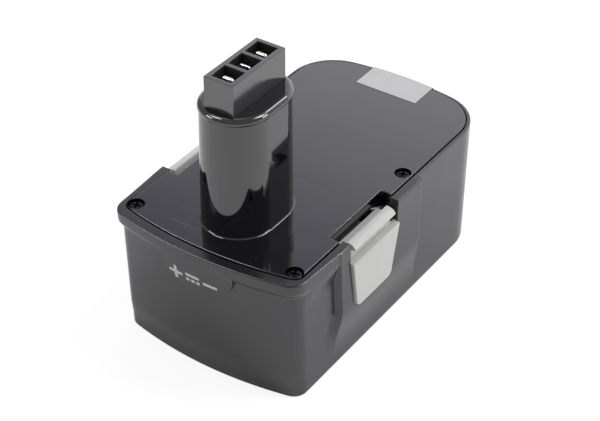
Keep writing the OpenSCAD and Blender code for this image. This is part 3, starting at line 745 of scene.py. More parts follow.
@dataclass
class CaseForm:
    """Sizes of the case that its shells share, in millimetres."""

    half_w: float = 38.0
    front_y: float = -65.825
    rear_y: float = 67.675
    rim_h: float = 52.5
    wall_t: float = 2.2
    front_wall_t: float = 3.2
    floor_t: float = 2.2
    side_draft: float = 0.4
    front_lean: float = 1.6
    front_bow_r: float = 148.6
    rear_bow_r: float = 131.7
    front_corner_r: float = 5.5
    rear_corner_r: float = 18.5
    least_corner_r: float = 1.0
    cover_t: float = 2.6
    cover_rise: float = 0.35
    rim_land: float = 1.05
    rim_land_front: float = 2.2
    cover_gap: float = 0.4
    cover_corner_r: float = 3.2
    latch_y: float = -17.55
    pad_x: float = 40.4
    pad_fore: float = 21.0
    pad_aft: float = 31.0
    flank_fore: float = 1.4
    flank_aft: float = 2.8
    notch_half: float = 16.5
    notch_x: float = 32.35
    stem_y: float = -36.425
    press_top_z: float = 43.8
    press_low_z: float = 22.6
    press_half_top: float = 14.8
    press_half_low: float = 11.5
    press_r: float = 3.0
    press_steps: int = 8
    bow_steps: tuple[int, int] = (22, 18)
    corner_steps: tuple[int, int] = (8, 14)
    side_steps: tuple[int, ...] = (8, 6, 22, 12, 9)

    @property
    def seat_z(self) -> float:
        """Height of the ledge under the cover."""
        return self.rim_h - self.cover_t

    @property
    def cover_z(self) -> float:
        """Height of the cover's top."""
        return self.rim_h + self.cover_rise

    @property
    def cover_half(self) -> float:
        """Half width of the cover."""
        return self.half_w - self.rim_land - self.cover_gap

    def half_ring(self, half: float, front: float, rear: float, bows: Point, corners: Point,
                  lean: float = 0.0) -> list[Point]:
        """Right half of a plan outline, from the front middle to the rear middle.

        Args:
            half: Half width.
            front: Front middle along Y.
            rear: Rear middle along Y.
            bows: Radii of the front and rear bows.
            corners: Radii of the front and rear corners.
            lean: Shift of the pad's front flank along Y.

        Returns:
            The points, always the same number.
        """
        front_r, rear_r = bows
        corner_f, corner_r = corners
        bow_f, bow_r = front + front_r, rear - rear_r
        fx, rx = half - corner_f, half - corner_r
        fy = bow_f - math.sqrt((front_r - corner_f) ** 2 - fx ** 2)
        ry = bow_r + math.sqrt((rear_r - corner_r) ** 2 - rx ** 2)
        turn_f = math.degrees(math.atan2(fy - bow_f, fx))
        turn_r = math.degrees(math.atan2(ry - bow_r, rx))
        fore = self.latch_y - self.pad_fore - self.flank_fore + lean
        aft = self.latch_y + self.pad_aft
        marks = (fy, fore, fore + self.flank_fore, aft - self.flank_aft, aft + self.flank_aft, ry)
        runs = zip(marks, marks[1:], self.side_steps)
        points = [(0.0, front)] + arc((0.0, bow_f), front_r, -90.0, turn_f, self.bow_steps[0])
        points += arc((fx, fy), corner_f, turn_f, 0.0, self.corner_steps[0])
        points += [(half, y) for start, stop, count in runs for y in spaced(start, stop, count)]
        points += arc((rx, ry), corner_r, 0.0, turn_r, self.corner_steps[1])
        return points + arc((0.0, bow_r), rear_r, turn_r, 90.0, self.bow_steps[1])

    def wall(self, inset: float, z: float, front_in: float = 0.0, lean: float = 0.0) -> list[Point]:
        """Plan outline of the case wall at one height.

        Args:
            inset: Distance inside the outer face.
            z: Height.
            front_in: Further set-back of the front.
            lean: Shift of the pad's front flank.

        Returns:
            The half outline.
        """
        k = 1.0 - z / self.rim_h
        draft = inset + self.side_draft * k
        bows = (self.front_bow_r - inset, self.rear_bow_r - inset)
        corners = (max(self.front_corner_r - inset, self.least_corner_r), self.rear_corner_r - draft)
        return self.half_ring(self.half_w - draft, self.front_y + inset + front_in + self.front_lean * k,
                              self.rear_y - draft, bows, corners, lean)

    def cover(self, grow: float) -> list[Point]:
        """Plan outline of the cover's edge.

        Args:
            grow: Clearance added all round.

        Returns:
            The half outline.
        """
        front = self.front_y + self.rim_land_front + self.cover_gap - grow
        rear = self.rear_y - self.rim_land - self.cover_gap + grow
        bows = (self.front_bow_r, self.rear_bow_r - self.rim_land)
        corners = (self.cover_corner_r + grow, self.rear_corner_r + grow)
        return self.half_ring(self.cover_half + grow, front, rear, bows, corners)

    def press_outline(self, grow: float) -> list[Point]:
        """Outline of a press plate as height over length.

        Args:
            grow: Clearance added all round, not at the top.

        Returns:
            The points as (y, z).
        """
        y, top = self.latch_y, self.press_top_z
        r, wide = self.press_r + grow, self.press_half_top + grow
        half = self.press_half_low + grow - r
        z = self.press_low_z - grow + r
        taper = self.press_half_top - self.press_half_low
        slant = math.degrees(math.atan2(taper, top - self.press_low_z))
        points = [(y + wide, top), (y - wide, top)]
        points += arc((y - half, z), r, 180.0 - slant, 270.0, self.press_steps)
        return points + arc((y + half, z), r, 270.0, 360.0 + slant, self.press_steps)


@dataclass
class Assembly:
    """A sub-assembly that is made in the workshop to the sizes of the case."""

    shop: Workshop
    form: CaseForm


@dataclass
class LowerCase(Assembly):
    """The deep cell case with its collar, latch pads and thumb rest."""

    foot_r: float = 0.8
    foot_row_z: float = 4.0
    band_h: float = 10.5
    band_in: float = 0.5
    band_slope: float = 5.5
    wall_rows: int = 10
    collar_out: float = 1.85
    collar_side: float = 0.5
    collar_h: float = 3.7
    collar_slope: float = 3.45
    collar_fade: float = 2.6
    collar_power: int = 8
    collar_rows: int = 8
    pad_foot_z: float = 5.0
    pad_low_z: float = 26.0
    pad_lean: float = 1.9
    soft_z: float = 38.5
    step_low_z: float = 17.0
    step_high_z: float = 25.0
    step_run: float = 4.0
    lip_r: float = 0.55
    lip_rows: int = 3
    mouth_bevel: float = 0.18
    pocket_half: float = 17.0
    pocket_x: float = 35.0
    pocket_gap: float = 0.15
    window_gap: float = 0.4
    face_t: float = 0.7
    rest_r: float = 15.5
    rest_z: float = 49.2
    rest_edge: float = 0.22
    rest_back: float = 0.8
    rest_set: float = 0.06
    rest_sink: float = 0.1
    rest_span: float = 1.1
    rest_over: float = 1.5
    rest_cut: float = 20.0
    rest_near: float = 0.03
    rest_clear: float = 0.05
    rest_steps: int = 44
    rest_sides: int = 144

    def pad(self, point: Point, z: float, lean: float) -> Point:
        """Push a wall point out to the latch pad.

        Args:
            point: Point of the wall outline.
            z: Its height.
            lean: Shift of the pad's front flank.

        Returns:
            The point on the outside.
        """
        form = self.form
        fore = form.latch_y - form.pad_fore + lean
        aft = form.latch_y + form.pad_aft
        run = form.flank_fore + self.step_run * (1.0 - step(z, self.step_low_z, self.step_high_z))
        share = step(point[1], fore - run, fore) * (1.0 - step(point[1], aft, aft + form.flank_aft))
        share *= step(z, self.pad_foot_z, self.pad_low_z)
        return point[0] + share * (form.pad_x - form.half_w), point[1]

    def collar(self, point: Point, share: float, soft: float = 1.0) -> Point:
        """Push a wall point out to the collar.

        Args:
            point: Point of the wall outline at the rim.
            share: How much of the collar stands out at the front, 0 to 1.
            soft: How much of it stands out at the sides.

        Returns:
            The point on the collar.
        """
        form = self.form
        x, y = point
        corner, tail = form.front_corner_r, form.latch_y + form.pad_aft
        front = 1.0 - step(y, form.front_y + corner, form.front_y + self.collar_fade * corner)
        flare = clamped((y - form.front_y) / (form.latch_y - form.notch_half - form.front_y))
        out = self.collar_side + (form.pad_x - form.half_w - self.collar_side) * flare
        bend = clamped((y - tail + form.flank_aft) / form.flank_aft)
        out -= (1.0 - math.sqrt(max(0.0, 1.0 - bend * bend))) * form.flank_aft
        out = max(0.0, out) * min(1.0, x / form.half_w) ** self.collar_power if y < tail else 0.0
        side = front * share + (1.0 - front) * soft
        return x + side * out, y - share * self.collar_out * front

    def rows(self) -> list[list[Spot]]:
        """All rows of points, from the edge of the underside over the rim to the floor inside.

        Returns:
            The rows.
        """
        form = self.form
        top = form.rim_h - self.collar_h
        low = top - self.collar_slope
        rows = [(drop, back, self.band_in, 0.0) for back, drop in rounding(self.foot_r)]
        rows += [(0.0, z, self.band_in, 0.0) for z in (self.foot_row_z, self.band_h - self.band_slope)]
        rows.append((0.0, self.band_h - self.band_slope / 2, self.band_in / 2, 0.0))
        plain = [self.band_h] + spaced(self.band_h, self.pad_low_z, self.wall_rows)
        plain += spaced(self.pad_low_z, low, self.wall_rows)
        rows += [(0.0, z, 0.0, 0.0) for z in plain]
        shares = spaced(0.0, 1.0, self.collar_rows)
        rows += [(0.0, low + k * (top - low), 0.0, step(k, 0.0, 1.0)) for k in shares]
        rows += [(0.0, z, 0.0, 1.0) for z in spaced(top, form.rim_h - self.lip_r, self.lip_rows)]
        skin = [self.outside(*row) for row in rows]
        rim = [self.collar(p, 1.0) for p in form.wall(0.0, form.rim_h)]
        inner = form.cover(form.cover_gap)
        for back, drop in rounding(self.lip_r, QUARTER[1:]):
            skin.append([toward(p, q, back, form.rim_h - drop) for p, q in zip(rim, inner)])
        skin.append([toward(q, p, self.mouth_bevel, form.rim_h) for p, q in zip(rim, inner)])
        skin += [[(*q, z) for q in inner] for z in (form.rim_h - self.mouth_bevel, form.seat_z)]
        front_in = self.band_in + form.front_wall_t - form.wall_t
        for z in (form.seat_z, form.floor_t):
            skin.append([(*p, z) for p in form.wall(form.wall_t, z, front_in)])
        return skin

    def outside(self, inset: float, z: float, front_in: float, share: float) -> list[Spot]:
        """One row of the outer skin.

        Args:
            inset: Rounding inset.
            z: Height.
            front_in: Set-back of the front.
            share: Share of the collar.

        Returns:
            The points.
        """
        form = self.form
        top = form.rim_h - self.collar_h
        lean = self.pad_lean * clamped((top - z) / (top - self.pad_low_z))
        soft = step(z, self.soft_z, top)
        made = []
        for point in form.wall(inset, z, front_in, lean):
            padded = self.pad(point, z, lean)
            ringed = self.collar(point, share, soft)
            made.append((max(padded[0], ringed[0]), ringed[1], z))
        return made

    def latch_room(self, side: Side) -> list[Mesh]:
        """Cutters for one latch pocket.

        Args:
            side: Side of the pack.

        Returns:
            Closed meshes to cut out.
        """
        form, s, gap = self.form, side.value, self.pocket_gap
        y, top, low = form.latch_y, form.press_top_z, form.press_low_z
        wide, slot = self.pocket_half, form.press_half_top + self.window_gap
        face_x, out_x = form.pad_x - self.face_t, form.pad_x + OVER

        def block(a: Spot, b: Spot) -> Mesh:
            """A block mirrored to the side."""
            xs = sorted((s * a[0], s * b[0]))
            return brick((xs[0], *a[1:]), (xs[1], *b[1:]))

        window = [(s * (face_x - OVER), *p) for p in form.press_outline(self.window_gap)]
        return [block((self.pocket_x, y - wide, low - gap), (face_x, y + wide, top + gap)),
                block((form.notch_x, y - slot, top - OVER), (out_x, y + slot, form.cover_z + OVER)),
                prism(window, (s * (self.face_t + 2.0 * OVER), 0.0, 0.0))]

    def rest(self) -> Mesh:
        """The raised half-moon that runs from the collar's face down into the front wall.

        Returns:
            The mesh.
        """
        form, r = self.form, self.rest_r
        high, low = form.rim_h - self.collar_h, self.rest_z - r
        back = form.front_y + self.rest_back * form.front_wall_t
        top_y = form.front_y - self.collar_out + self.rest_set
        low_y = form.front_y + form.front_lean * (1.0 - low / form.rim_h) + self.rest_sink
        side = self.rest_span * r
        places = [-side] + spaced(-side, side, self.rest_steps)
        bow = [form.front_bow_r - math.sqrt(form.front_bow_r ** 2 - x * x) for x in places]
        rings = []
        for z, y in ((low - OVER, low_y), (low, low_y), (high, top_y), (high + self.rest_over, top_y)):
            face = [(x, y + b, z) for x, b in zip(places, bow)]
            rings.append(face + [(side, back, z), (-side, back, z)])
        disc = drum(upright((0.0, form.front_y, self.rest_z)), r, self.rest_cut, self.rest_sides)
        mesh = combine(lofted(rings), disc, Cut.KEEP)

        def on_rim(spot: Vector) -> bool:
            """Whether a place lies on the front edge of the half-moon."""
            off = math.hypot(spot.x, spot.z - self.rest_z) - r
            return abs(off) < self.rest_near and spot.y < back - self.rest_clear

        round_edges(mesh, lambda e: both_ends(e, on_rim), self.rest_edge)
        return mesh

    def build(self) -> Piece:
        """Build the case.

        Returns:
            The piece.
        """
        mesh = bmesh.new()
        loft(mesh, self.rows(), False)
        whole = mesh.verts[:] + mesh.edges[:] + mesh.faces[:]
        bmesh.ops.mirror(mesh, geom=whole, axis="X", merge_dist=WELD)
        close_ends(mesh)
        mesh = combine(mesh, self.rest(), Cut.JOIN)
        mesh = carve(mesh, (cutter for side in Side for cutter in self.latch_room(side)))
        return self.shop.hand_over("case_moulding", mesh, ["lower_case"])


@dataclass
class TopCover(Assembly):
    """The cover plate with its shallow panel and the hollow contact stem."""

    edge: float = 0.38
    edge_steps: int = 3
    trim: float = 0.5
    panel_drop: float = 0.3
    panel_slope: float = 0.5
    panel_flare: float = 0.2
    panel_half_w: float = 21.5
    panel_fore: float = 19.6
    panel_aft: float = 27.0
    panel_r: float = 3.0
    panel_least_r: float = 0.5
    panel_steps: int = 6
    base: Point = (26.5, 36.2)
    tip: Point = (25.6, 35.3)
    round_steps: int = 40
    rise_steps: int = 4
    stem_top_z: float = 100.5
    stem_sunk: float = 0.5
    lip_r: float = 1.7
    lip_out: float = 0.4
    lip_steps: int = 9
    wall: float = 2.0
    fillet: float = 0.6
    mouth: Point = (6.0, 14.85)
    mouth_z: Point = (90.0, 110.0)
    screws: tuple[Point, Point] = ((33.4, -56.1), (33.1, 12.31))
    recess_r: float = 3.1
    recess_depth: float = 2.2
    recess_sides: int = 48
    drill_l: float = 10.0

    @property
    def screw_spots(self) -> list[Point]:
        """Places of all four screws."""
        return [(s * x, y) for x, y in self.screws for s in (-1.0, 1.0)]

    @property
    def recess_z(self) -> float:
        """Height of the recesses' floor."""
        return self.form.cover_z - self.recess_depth

    def plate(self) -> Mesh:
        """The flat plate with its two latch notches.

        Returns:
            The mesh.
        """
        form = self.form
        y0, y1 = form.latch_y - form.notch_half, form.latch_y + form.notch_half
        x0, x1 = form.notch_x, form.cover_half
        ring = form.cover(0.0)
        fore = [p for p in ring if p[1] < y0 - self.trim]
        aft = [p for p in ring if p[1] > y1 + self.trim]
        half = fore + [(x1, y0), (x0, y0), (x0, y1), (x1, y1)] + aft
        whole = half + [(-x, y) for x, y in reversed(half[1:-1])]
        mesh = prism([(x, y, form.seat_z) for x, y in whole], (0.0, 0.0, form.cover_z - form.seat_z))
        top = form.cover_z - HAIR
        round_edges(mesh, lambda e: both_ends(e, lambda p: p.z > top), self.edge, self.edge_steps)
        return mesh

    def panel(self) -> Mesh:
        """Cutter for the shallow panel round the stem.

        Returns:
            The mesh.
        """
        form, z = self.form, self.form.cover_z

        def ring(less: float, height: float) -> list[Spot]:
            """One rounded ring.

            Args:
                less: Distance that it is set in.
                height: Its height.

            Returns:
                The points.
            """
            w, q = self.panel_half_w - less, max(self.panel_r - less, self.panel_least_r)
            y0, y1 = form.stem_y - self.panel_fore + less, form.stem_y + self.panel_aft - less
            corners = ((w - q, y0 + q), (w - q, y1 - q), (q - w, y1 - q), (q - w, y0 + q))
            points = []
            for corner, turn in zip(corners, (-90.0, 0.0, 90.0, 180.0)):
                points += arc(corner, q, turn, turn + 90.0, self.panel_steps)
            return [(x, y, height) for x, y in points]

        return lofted([ring(self.panel_slope, z - self.panel_drop), ring(0.0, z),
                       ring(-self.panel_flare, z + 2.0 * OVER)])

    def stadium(self, size: Point, z: float, grow: float = 0.0) -> list[Spot]:
        """One slot-shaped ring of the stem.

        Args:
            size: Width and length.
            z: Height.
            grow: Increase of the width and the length.

        Returns:
            The points.
        """
        r = (size[0] + grow) / 2.0
        a = (size[1] + grow) / 2.0 - r
        y, steps = self.form.stem_y, self.round_steps
        points = arc((0.0, y + a), r, 0.0, 180.0, steps) + arc((0.0, y - a), r, 180.0, 360.0, steps)
        return [(px, py, z) for px, py in points]

    def stem(self) -> Mesh:
        """The stem with its fillet below and its rounded lip at the top.

        Returns:
            The mesh.
        """
        z0, z1 = self.form.cover_z - self.panel_drop, self.stem_top_z
        start = -math.degrees(math.acos(1.0 - self.lip_out / self.lip_r))
        neck = z1 - self.lip_r * (1.0 - math.sin(math.radians(start)))
        foot = z0 + self.fillet
        rings = [self.stadium(self.base, z0 - self.stem_sunk, 2.0 * self.fillet)]
        rings += [self.stadium(self.base, z0 + back, 2.0 * drop) for back, drop in rounding(self.fillet)]
        for share in spaced(0.0, 1.0, self.rise_steps):
            size = tuple(b + (t - b) * share for b, t in zip(self.base, self.tip))
            rings.append(self.stadium(size, foot + (neck - foot) * share))
        for back, drop in rounding(self.lip_r, spaced(start, 90.0, self.lip_steps)):
            rings.append(self.stadium(self.tip, z1 - drop, 2.0 * (self.lip_out - back)))
        return lofted(rings)

    def hollow(self) -> Mesh:
        """The space inside the stem.

        Returns:
            The mesh.
        """
        less = -2.0 * self.wall
        return lofted([self.stadium(self.base, self.form.seat_z - OVER, less),
                       self.stadium(self.tip, self.stem_top_z - self.wall, less)])

    def build(self) -> Piece:
        """Build the cover.

        Returns:
            The piece.
        """
        x, y = self.mouth
        low, high = self.mouth_z
        mid = self.form.stem_y
        mesh = combine(carve(self.plate(), [self.panel()]), self.stem(), Cut.JOIN)
        cutters = [self.hollow(), brick((-x, mid - y, low), (x, mid + y, high))]
        for spot in self.screw_spots:
            place = Matrix.Translation((*spot, self.recess_z + self.drill_l / 2.0))
            cutters.append(drum(place, self.recess_r, self.drill_l, self.recess_sides))
        return self.shop.hand_over("cover_moulding", carve(mesh, cutters), ["top_cover"])


@dataclass
class CoverScrews(Assembly):
    """Four black pan-head screws with a cross recess."""

    cover: TopCover
    head_r: float = 2.8
    head_h: float = 1.7
    dome: tuple[Point, ...] = ((0.0, 0.0), (0.5, 0.02), (0.78, 0.16), (0.93, 0.42), (1.0, 0.85))
    head_edge: float = 0.1
    shank_r: float = 1.45
    shank_l: float = 12.0
    point_l: float = 0.6
    cross: Spot = (3.4, 0.9, 1.1)
    turn: float = 20.0
    sides: int = 40

    def screw(self, x: float, y: float) -> Mesh:
        """One screw, spun about its axis.

        Args:
            x: Place along X.
            y: Place along Y.

        Returns:
            The mesh.
        """
        z, h, r, cut = self.cover.recess_z, self.head_h, self.head_r, self.head_edge
        section = [(share * r, h - drop) for share, drop in self.dome]
        section += [(r, cut), (r - cut, 0.0), (self.shank_r, 0.0)]
        section += [(self.shank_r, self.point_l - self.shank_l), (0.0, -self.shank_l)]
        mesh = bmesh.new()
        row = [mesh.verts.new((x + p, y, z + q)) for p, q in section]
        edges = [mesh.edges.new(pair) for pair in zip(row, row[1:])]
        bmesh.ops.spin(mesh, geom=row + edges, cent=(x, y, 0.0), axis=(0.0, 0.0, 1.0), angle=math.tau,
                       steps=self.sides, use_merge=True)
        bmesh.ops.remove_doubles(mesh, verts=mesh.verts[:], dist=WELD)
        outward(mesh)
        length, width, depth = self.cross
        slots = []
        for quarter in (0.0, 90.0):
            slot = brick((-length / 2, -width / 2, h - depth), (length / 2, width / 2, h + OVER))
            spin = Matrix.Rotation(math.radians(self.turn + quarter), 4, "Z")
            bmesh.ops.transform(slot, matrix=Matrix.Translation((x, y, z)) @ spin, verts=slot.verts[:])
            slots.append(slot)
        return carve(mesh, slots)

    def build(self) -> None:
        """Build all four as one piece."""
        whole = bmesh.new()
        for spot in self.cover.screw_spots:
            data = mesh_data("screw", self.screw(*spot))
            whole.from_mesh(data)
            bpy.data.meshes.remove(data)
        self.shop.hand_over("screw_set", whole, ["cover_screws"])


@dataclass
class ContactBlock(Assembly):
    """The contact block on the stem and its three blades."""

    width: float = 11.8
    length: float = 29.5
    low_z: float = 96.1
    top_z: float = 112.4
    pocket: Point = (8.0, 7.5)
    pitch: float = 9.2
    depth: float = 10.8
    edge: float = 0.25
    blade_w: float = 4.8
    blade_t: float = 0.8
    blade_edge: float = 0.36
    blade_free: float = 0.1
    power_t: float = 1.6
    tip_r: float = 1.2
    tip_down: float = 1.3
    tip_steps: int = 6
    edge_steps: int = 3
    tail: Point = (0.8, 6.0)

    def blade(self, place: float, thick: float) -> Mesh:
        """One contact blade with its solder tail.

        Args:
            place: Middle of the blade along Y.
            thick: Its thickness.

        Returns:
            The mesh.
        """
        half, r, top, low = self.blade_w / 2.0, self.tip_r, self.top_z - self.tip_down, self.low_z
        wide, drop = half + self.tail[0], low - self.tail[1]
        points = [(-wide, drop), (wide, drop), (wide, low), (half, low)]
        points += arc((half - r, top - r), r, 0.0, 90.0, self.tip_steps)
        points += arc((r - half, top - r), r, 90.0, 180.0, self.tip_steps)
        points += [(-half, low), (-wide, low)]
        mesh = prism([(x, place - thick / 2.0, z) for x, z in points], (0.0, thick, 0.0))
        free = low + self.blade_free
        round_edges(mesh, lambda e: both_ends(e, lambda p: p.z > free) and across(e),
                    self.blade_edge * thick, self.edge_steps)
        return mesh

    def build(self) -> None:
        """Build the block and its contacts."""
        y, top = self.form.stem_y, self.top_z
        mesh = brick((-self.width / 2, y - self.length / 2, self.low_z),
                     (self.width / 2, y + self.length / 2, top))
        half_w, half_l = self.pocket[0] / 2, self.pocket[1] / 2
        mids = [y + i * self.pitch for i in (-1, 0, 1)]
        pockets = [brick((-half_w, mid - half_l, top - self.depth), (half_w, mid + half_l, top + OVER))
                   for mid in mids]
        mesh = carve(mesh, pockets)
        high, side = top - HAIR, self.width / 2 - HAIR
        round_edges(mesh, lambda e: both_ends(e, lambda p: p.z > high)
                    or both_ends(e, lambda p: abs(p.x) > side), self.edge)
        self.shop.hand_over("contact_block", mesh, ["contact_holder"])
        kinds = (("plus", self.power_t), ("sense", self.blade_t), ("minus", self.power_t))
        for mid, (name, thick) in zip(mids, kinds):
            self.shop.hand_over(f"blade_{name}", self.blade(mid, thick), [f"contact_{name}"])


@dataclass
class Latches(Assembly):
    """The two latches with their spring plates and springs."""

    press_x: float = 41.7
    press_sunk: float = 0.2
    ear_x: float = 39.55
    nose_half: float = 12.9
    nose: Point = (3.6, 2.2)
    nose_back: float = 0.8
    nose_x: float = 37.2
    nose_z: float = 48.4
    nose_under: float = 10.0
    nose_steps: tuple[int, int] = (16, 6)
    neck_x: float = 38.7
    neck_t: float = 1.9
    catch_x: float = 33.15
    catch_t: float = 1.4
    catch_up: float = -0.5
    web_t: float = 0.9
    ear_t: float = 1.1
    ear_half: float = 16.2
    lean: float = 0.5
    edge: float = 0.45
    edge_steps: int = 3
    end_edge: float = 0.3
    spring_off: float = 11.375
    spring_z: float = 33.2
    spring_r: float = 2.075
    spring_gap: float = 0.02
    wire_r: float = 0.225
    wire_sides: int = 10
    cup_x: float = 33.478
    coils: float = 5.0
    closed_turns: float = 0.75
    turn_steps: int = 16
    travel: float = 2.3

    def plate(self) -> Mesh:
        """The press plate with its leaning face.

        Returns:
            The mesh on the right side.
        """
        form, back = self.form, self.ear_x - self.press_sunk
        outline = form.press_outline(0.0)
        mesh = prism([(back, y, z) for y, z in outline], (self.press_x - back, 0.0, 0.0))
        span = form.press_top_z - form.press_low_z
        for vert in mesh.verts:
            if vert.co.x > self.press_x - HAIR:
                vert.co.x -= self.lean * (form.press_top_z - vert.co.z) / span
        face = self.press_x - self.lean - HAIR
        round_edges(mesh, lambda e: both_ends(e, lambda p: p.x > face), self.edge, self.edge_steps)
        return mesh

    def catch(self) -> Mesh:
        """Neck, flange and domed nose, drawn as one section and extruded along the latch.

        Returns:
            The mesh on the right side.
        """
        wide, high = self.nose
        mid, low = self.form.latch_y, self.form.press_top_z - self.web_t
        top, back = self.nose_z + self.catch_up, self.neck_x - self.neck_t
        under = top - self.catch_t
        chin = self.nose_z - high * math.sin(math.radians(self.nose_under))
        stop = 180.0 - math.degrees(math.asin(self.catch_up / high))
        section = [(self.catch_x, under), (back, under), (back, low)]
        section += [(self.neck_x, low), (self.neck_x, chin)]
        runs = ((wide, -self.nose_under, 90.0), (self.nose_back, 90.0, stop))
        for (reach, first, last), steps in zip(runs, self.nose_steps):
            section += [(self.nose_x + reach * x, self.nose_z + high * z)
                        for x, z in arc((0.0, 0.0), 1.0, first, last, steps)]
        section.append((self.catch_x, top))
        half, ends = self.nose_half, self.nose_half - HAIR
        mesh = prism([(x, mid - half, z) for x, z in section], (0.0, 2.0 * half, 0.0))
        round_edges(mesh, lambda e: both_ends(e, lambda p: abs(p.y - mid) > ends) and across(e),
                    self.end_edge)
        return mesh

    def coil(self, side: Side, place: str) -> None:
        """Wind one spring with its two closed end turns and give it its own mesh data.

        Args:
            side: Side of the pack.
            place: Word for its place along the latch.
        """
        s = float(side.value)
        y = self.form.latch_y + (self.spring_off if place == "aft" else -self.spring_off)
        start = self.cup_x + self.wire_r + self.spring_gap
        stop = self.ear_x - self.ear_t - self.wire_r - self.spring_gap
        mesh = bmesh.new()
        bmesh.ops.create_circle(mesh, cap_ends=False, segments=self.wire_sides, radius=self.wire_r,
                                matrix=Matrix.Translation((s * start, y + self.spring_r, self.spring_z)))
        last = mesh.verts[:] + mesh.edges[:]
        flat = (self.closed_turns, 0.0)
        for turns, rise in (flat, (self.coils - 2.0 * self.closed_turns, stop - start), flat):
            steps = int(turns * self.turn_steps)
            made = bmesh.ops.spin(mesh, geom=last, cent=(0.0, y, self.spring_z), axis=(1.0, 0.0, 0.0),
                                  dvec=(s * rise / steps, 0.0, 0.0), angle=math.tau * turns, steps=steps)
            last = made["geom_last"]
        close_ends(mesh)
        node = f"spring_{side.word}_{place}"
        piece = self.shop.hand_over(f"{node}_coil", mesh, [node])
        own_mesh(piece)

    def build(self) -> None:
        """Build both sides."""
        form = self.form
        for side in Side:
            ears = brick((self.ear_x - self.ear_t, form.latch_y - self.ear_half, form.press_low_z),
                         (self.ear_x, form.latch_y + self.ear_half, form.press_top_z))
            mesh = combine(combine(self.plate(), self.catch(), Cut.JOIN), ears, Cut.JOIN)
            if side is Side.LEFT:
                bmesh.ops.scale(mesh, vec=(-1.0, 1.0, 1.0), verts=mesh.verts[:])
                bmesh.ops.reverse_faces(mesh, faces=mesh.faces[:])
            node = f"latch_{side.word}"
            self.shop.hand_over(f"{node}_moulding", mesh, [node], body=side.body)
            self.shop.dress(f"spring_plate_{side.word}")
            for place in ("fore", "aft"):
                self.coil(side, place)


@dataclass
class Papers(Assembly):
    """The blank seal folded over the rear edge, and the white signs on the front."""

    half: float = 13.2
    reach: float = 14.3
    drop: float = 8.0
    thick: float = 0.14
    gap: float = 0.02
    fold_r: float = 0.8
    cross_steps: int = 16
    fold_steps: int = 6
    drop_steps: int = 3
    places: Spot = (-9.0, -1.7, 5.6)
    sign_z: float = 40.6
    sign: float = 5.8
    stroke: float = 1.3
    dash: float = 0.26
    dash_pitch: float = 0.37
    dash_off: float = 1.15
    sign_lift: float = 0.02
    sign_t: float = 0.03
    sign_steps: int = 6
    ray_y: float = -200.0

    def seal(self) -> None:
        """Fold the seal."""
        form, r, bow = self.form, self.fold_r, self.form.rear_bow_r
        high, fore = form.cover_z + self.gap, form.rear_y - self.reach
        rows = []
        for x in [-self.half] + spaced(-self.half, self.half, self.cross_steps):
            rear = form.rear_y - bow + math.sqrt(bow ** 2 - x * x) + self.gap
            line = [(y, high) for y in [fore] + spaced(fore, rear - r, self.fold_steps)]
            line += arc((rear - r, high - r), r, 90.0, 0.0, self.fold_steps)
            line += [(rear, z) for z in spaced(high - r, form.rim_h - self.drop, self.drop_steps)]
            rows.append([(x, y, z) for y, z in line])
        mesh = bmesh.new()
        loft(mesh, rows, False)
        outward(mesh)
        if max(mesh.faces, key=lambda f: f.calc_center_median().z).normal.z < 0.0:
            bmesh.ops.reverse_faces(mesh, faces=mesh.faces[:])
        bmesh.ops.solidify(mesh, geom=mesh.faces[:], thickness=-self.thick)
        outward(mesh)
        self.shop.hand_over("rear_seal", mesh, ["seal_label"])

    def bars(self) -> list[tuple[float, float, float, float]]:
        """Strokes of the plus, direct-current and minus signs.

        Returns:
            Middle along X, height, width and depth of each stroke.
        """
        plus, steady, minus = self.places
        z, size, line = self.sign_z, self.sign, self.stroke
        arm = (size - line) / 2.0
        off = (line + arm) / 2
        bars = [(plus, z, size, line), (plus, z + off, line, arm), (plus, z - off, line, arm)]
        bars += [(steady, z + self.dash_off, size, line)]
        bars += [(steady + i * size * self.dash_pitch, z - self.dash_off, size * self.dash, line)
                 for i in (-1, 0, 1)]
        return bars + [(minus, z, size, line)]

    def signs(self, case: Piece) -> None:
        """Lay the signs on the front of the case.

        Args:
            case: The finished case.
        """
        shell = bmesh.new()
        shell.from_mesh(case.data)
        tree = BVHTree.FromBMesh(shell)
        shell.free()
        mesh = bmesh.new()
        for x, z, width, depth in self.bars():
            size = Matrix.Diagonal((width, depth, 1.0, 1.0))
            bmesh.ops.create_grid(mesh, x_segments=self.sign_steps, y_segments=self.sign_steps, size=0.5,
                                  matrix=upright((x, 0.0, z)) @ size)
        for vert in mesh.verts:
            start = Vector((vert.co.x, self.ray_y, vert.co.z)) * MM
            vert.co.y = tree.ray_cast(start, Vector((0.0, 1.0, 0.0)))[0].y / MM - self.sign_lift
        outward(mesh)
        bmesh.ops.solidify(mesh, geom=mesh.faces[:], thickness=self.sign_t)
        outward(mesh)
        self.shop.hand_over("front_signs", mesh, slot="label_paper")


@dataclass
class Inside:
    """Everything that keeps its CAD shape."""

    shop: Workshop
    names: tuple[str, ...] = (
        "cell_sleeves", "insulating_rings", "straps_top", "straps_bottom", "foam_bed",
        "insulating_sheet", "front_packing", "thermal_switch", "lead_plus", "lead_minus", "lead_sense",
    )
    cells: int = 15

    def build(self) -> None:
        """Dress the nodes."""
        for node in self.names + tuple(f"cell_{i + 1:02d}" for i in range(self.cells)):
            self.shop.dress(node)


@dataclass(frozen=True)
class Lamp:
    """One soft square lamp, in metres and watts."""

    name: str
    place: Spot
    target: Spot
    size: float
    power: float

    def hang(self) -> None:
        """Hang the lamp and point it at its target."""
        data = bpy.data.lights.new(self.name, "AREA")
        data.shape = "SQUARE"
        data.size = self.size
        data.energy = self.power
        aim = Vector(self.target) - Vector(self.place)
        turn = aim.to_track_quat("-Z", "Y").to_matrix().to_4x4()
        put(self.name, data).matrix_world = Matrix.Translation(self.place) @ turn


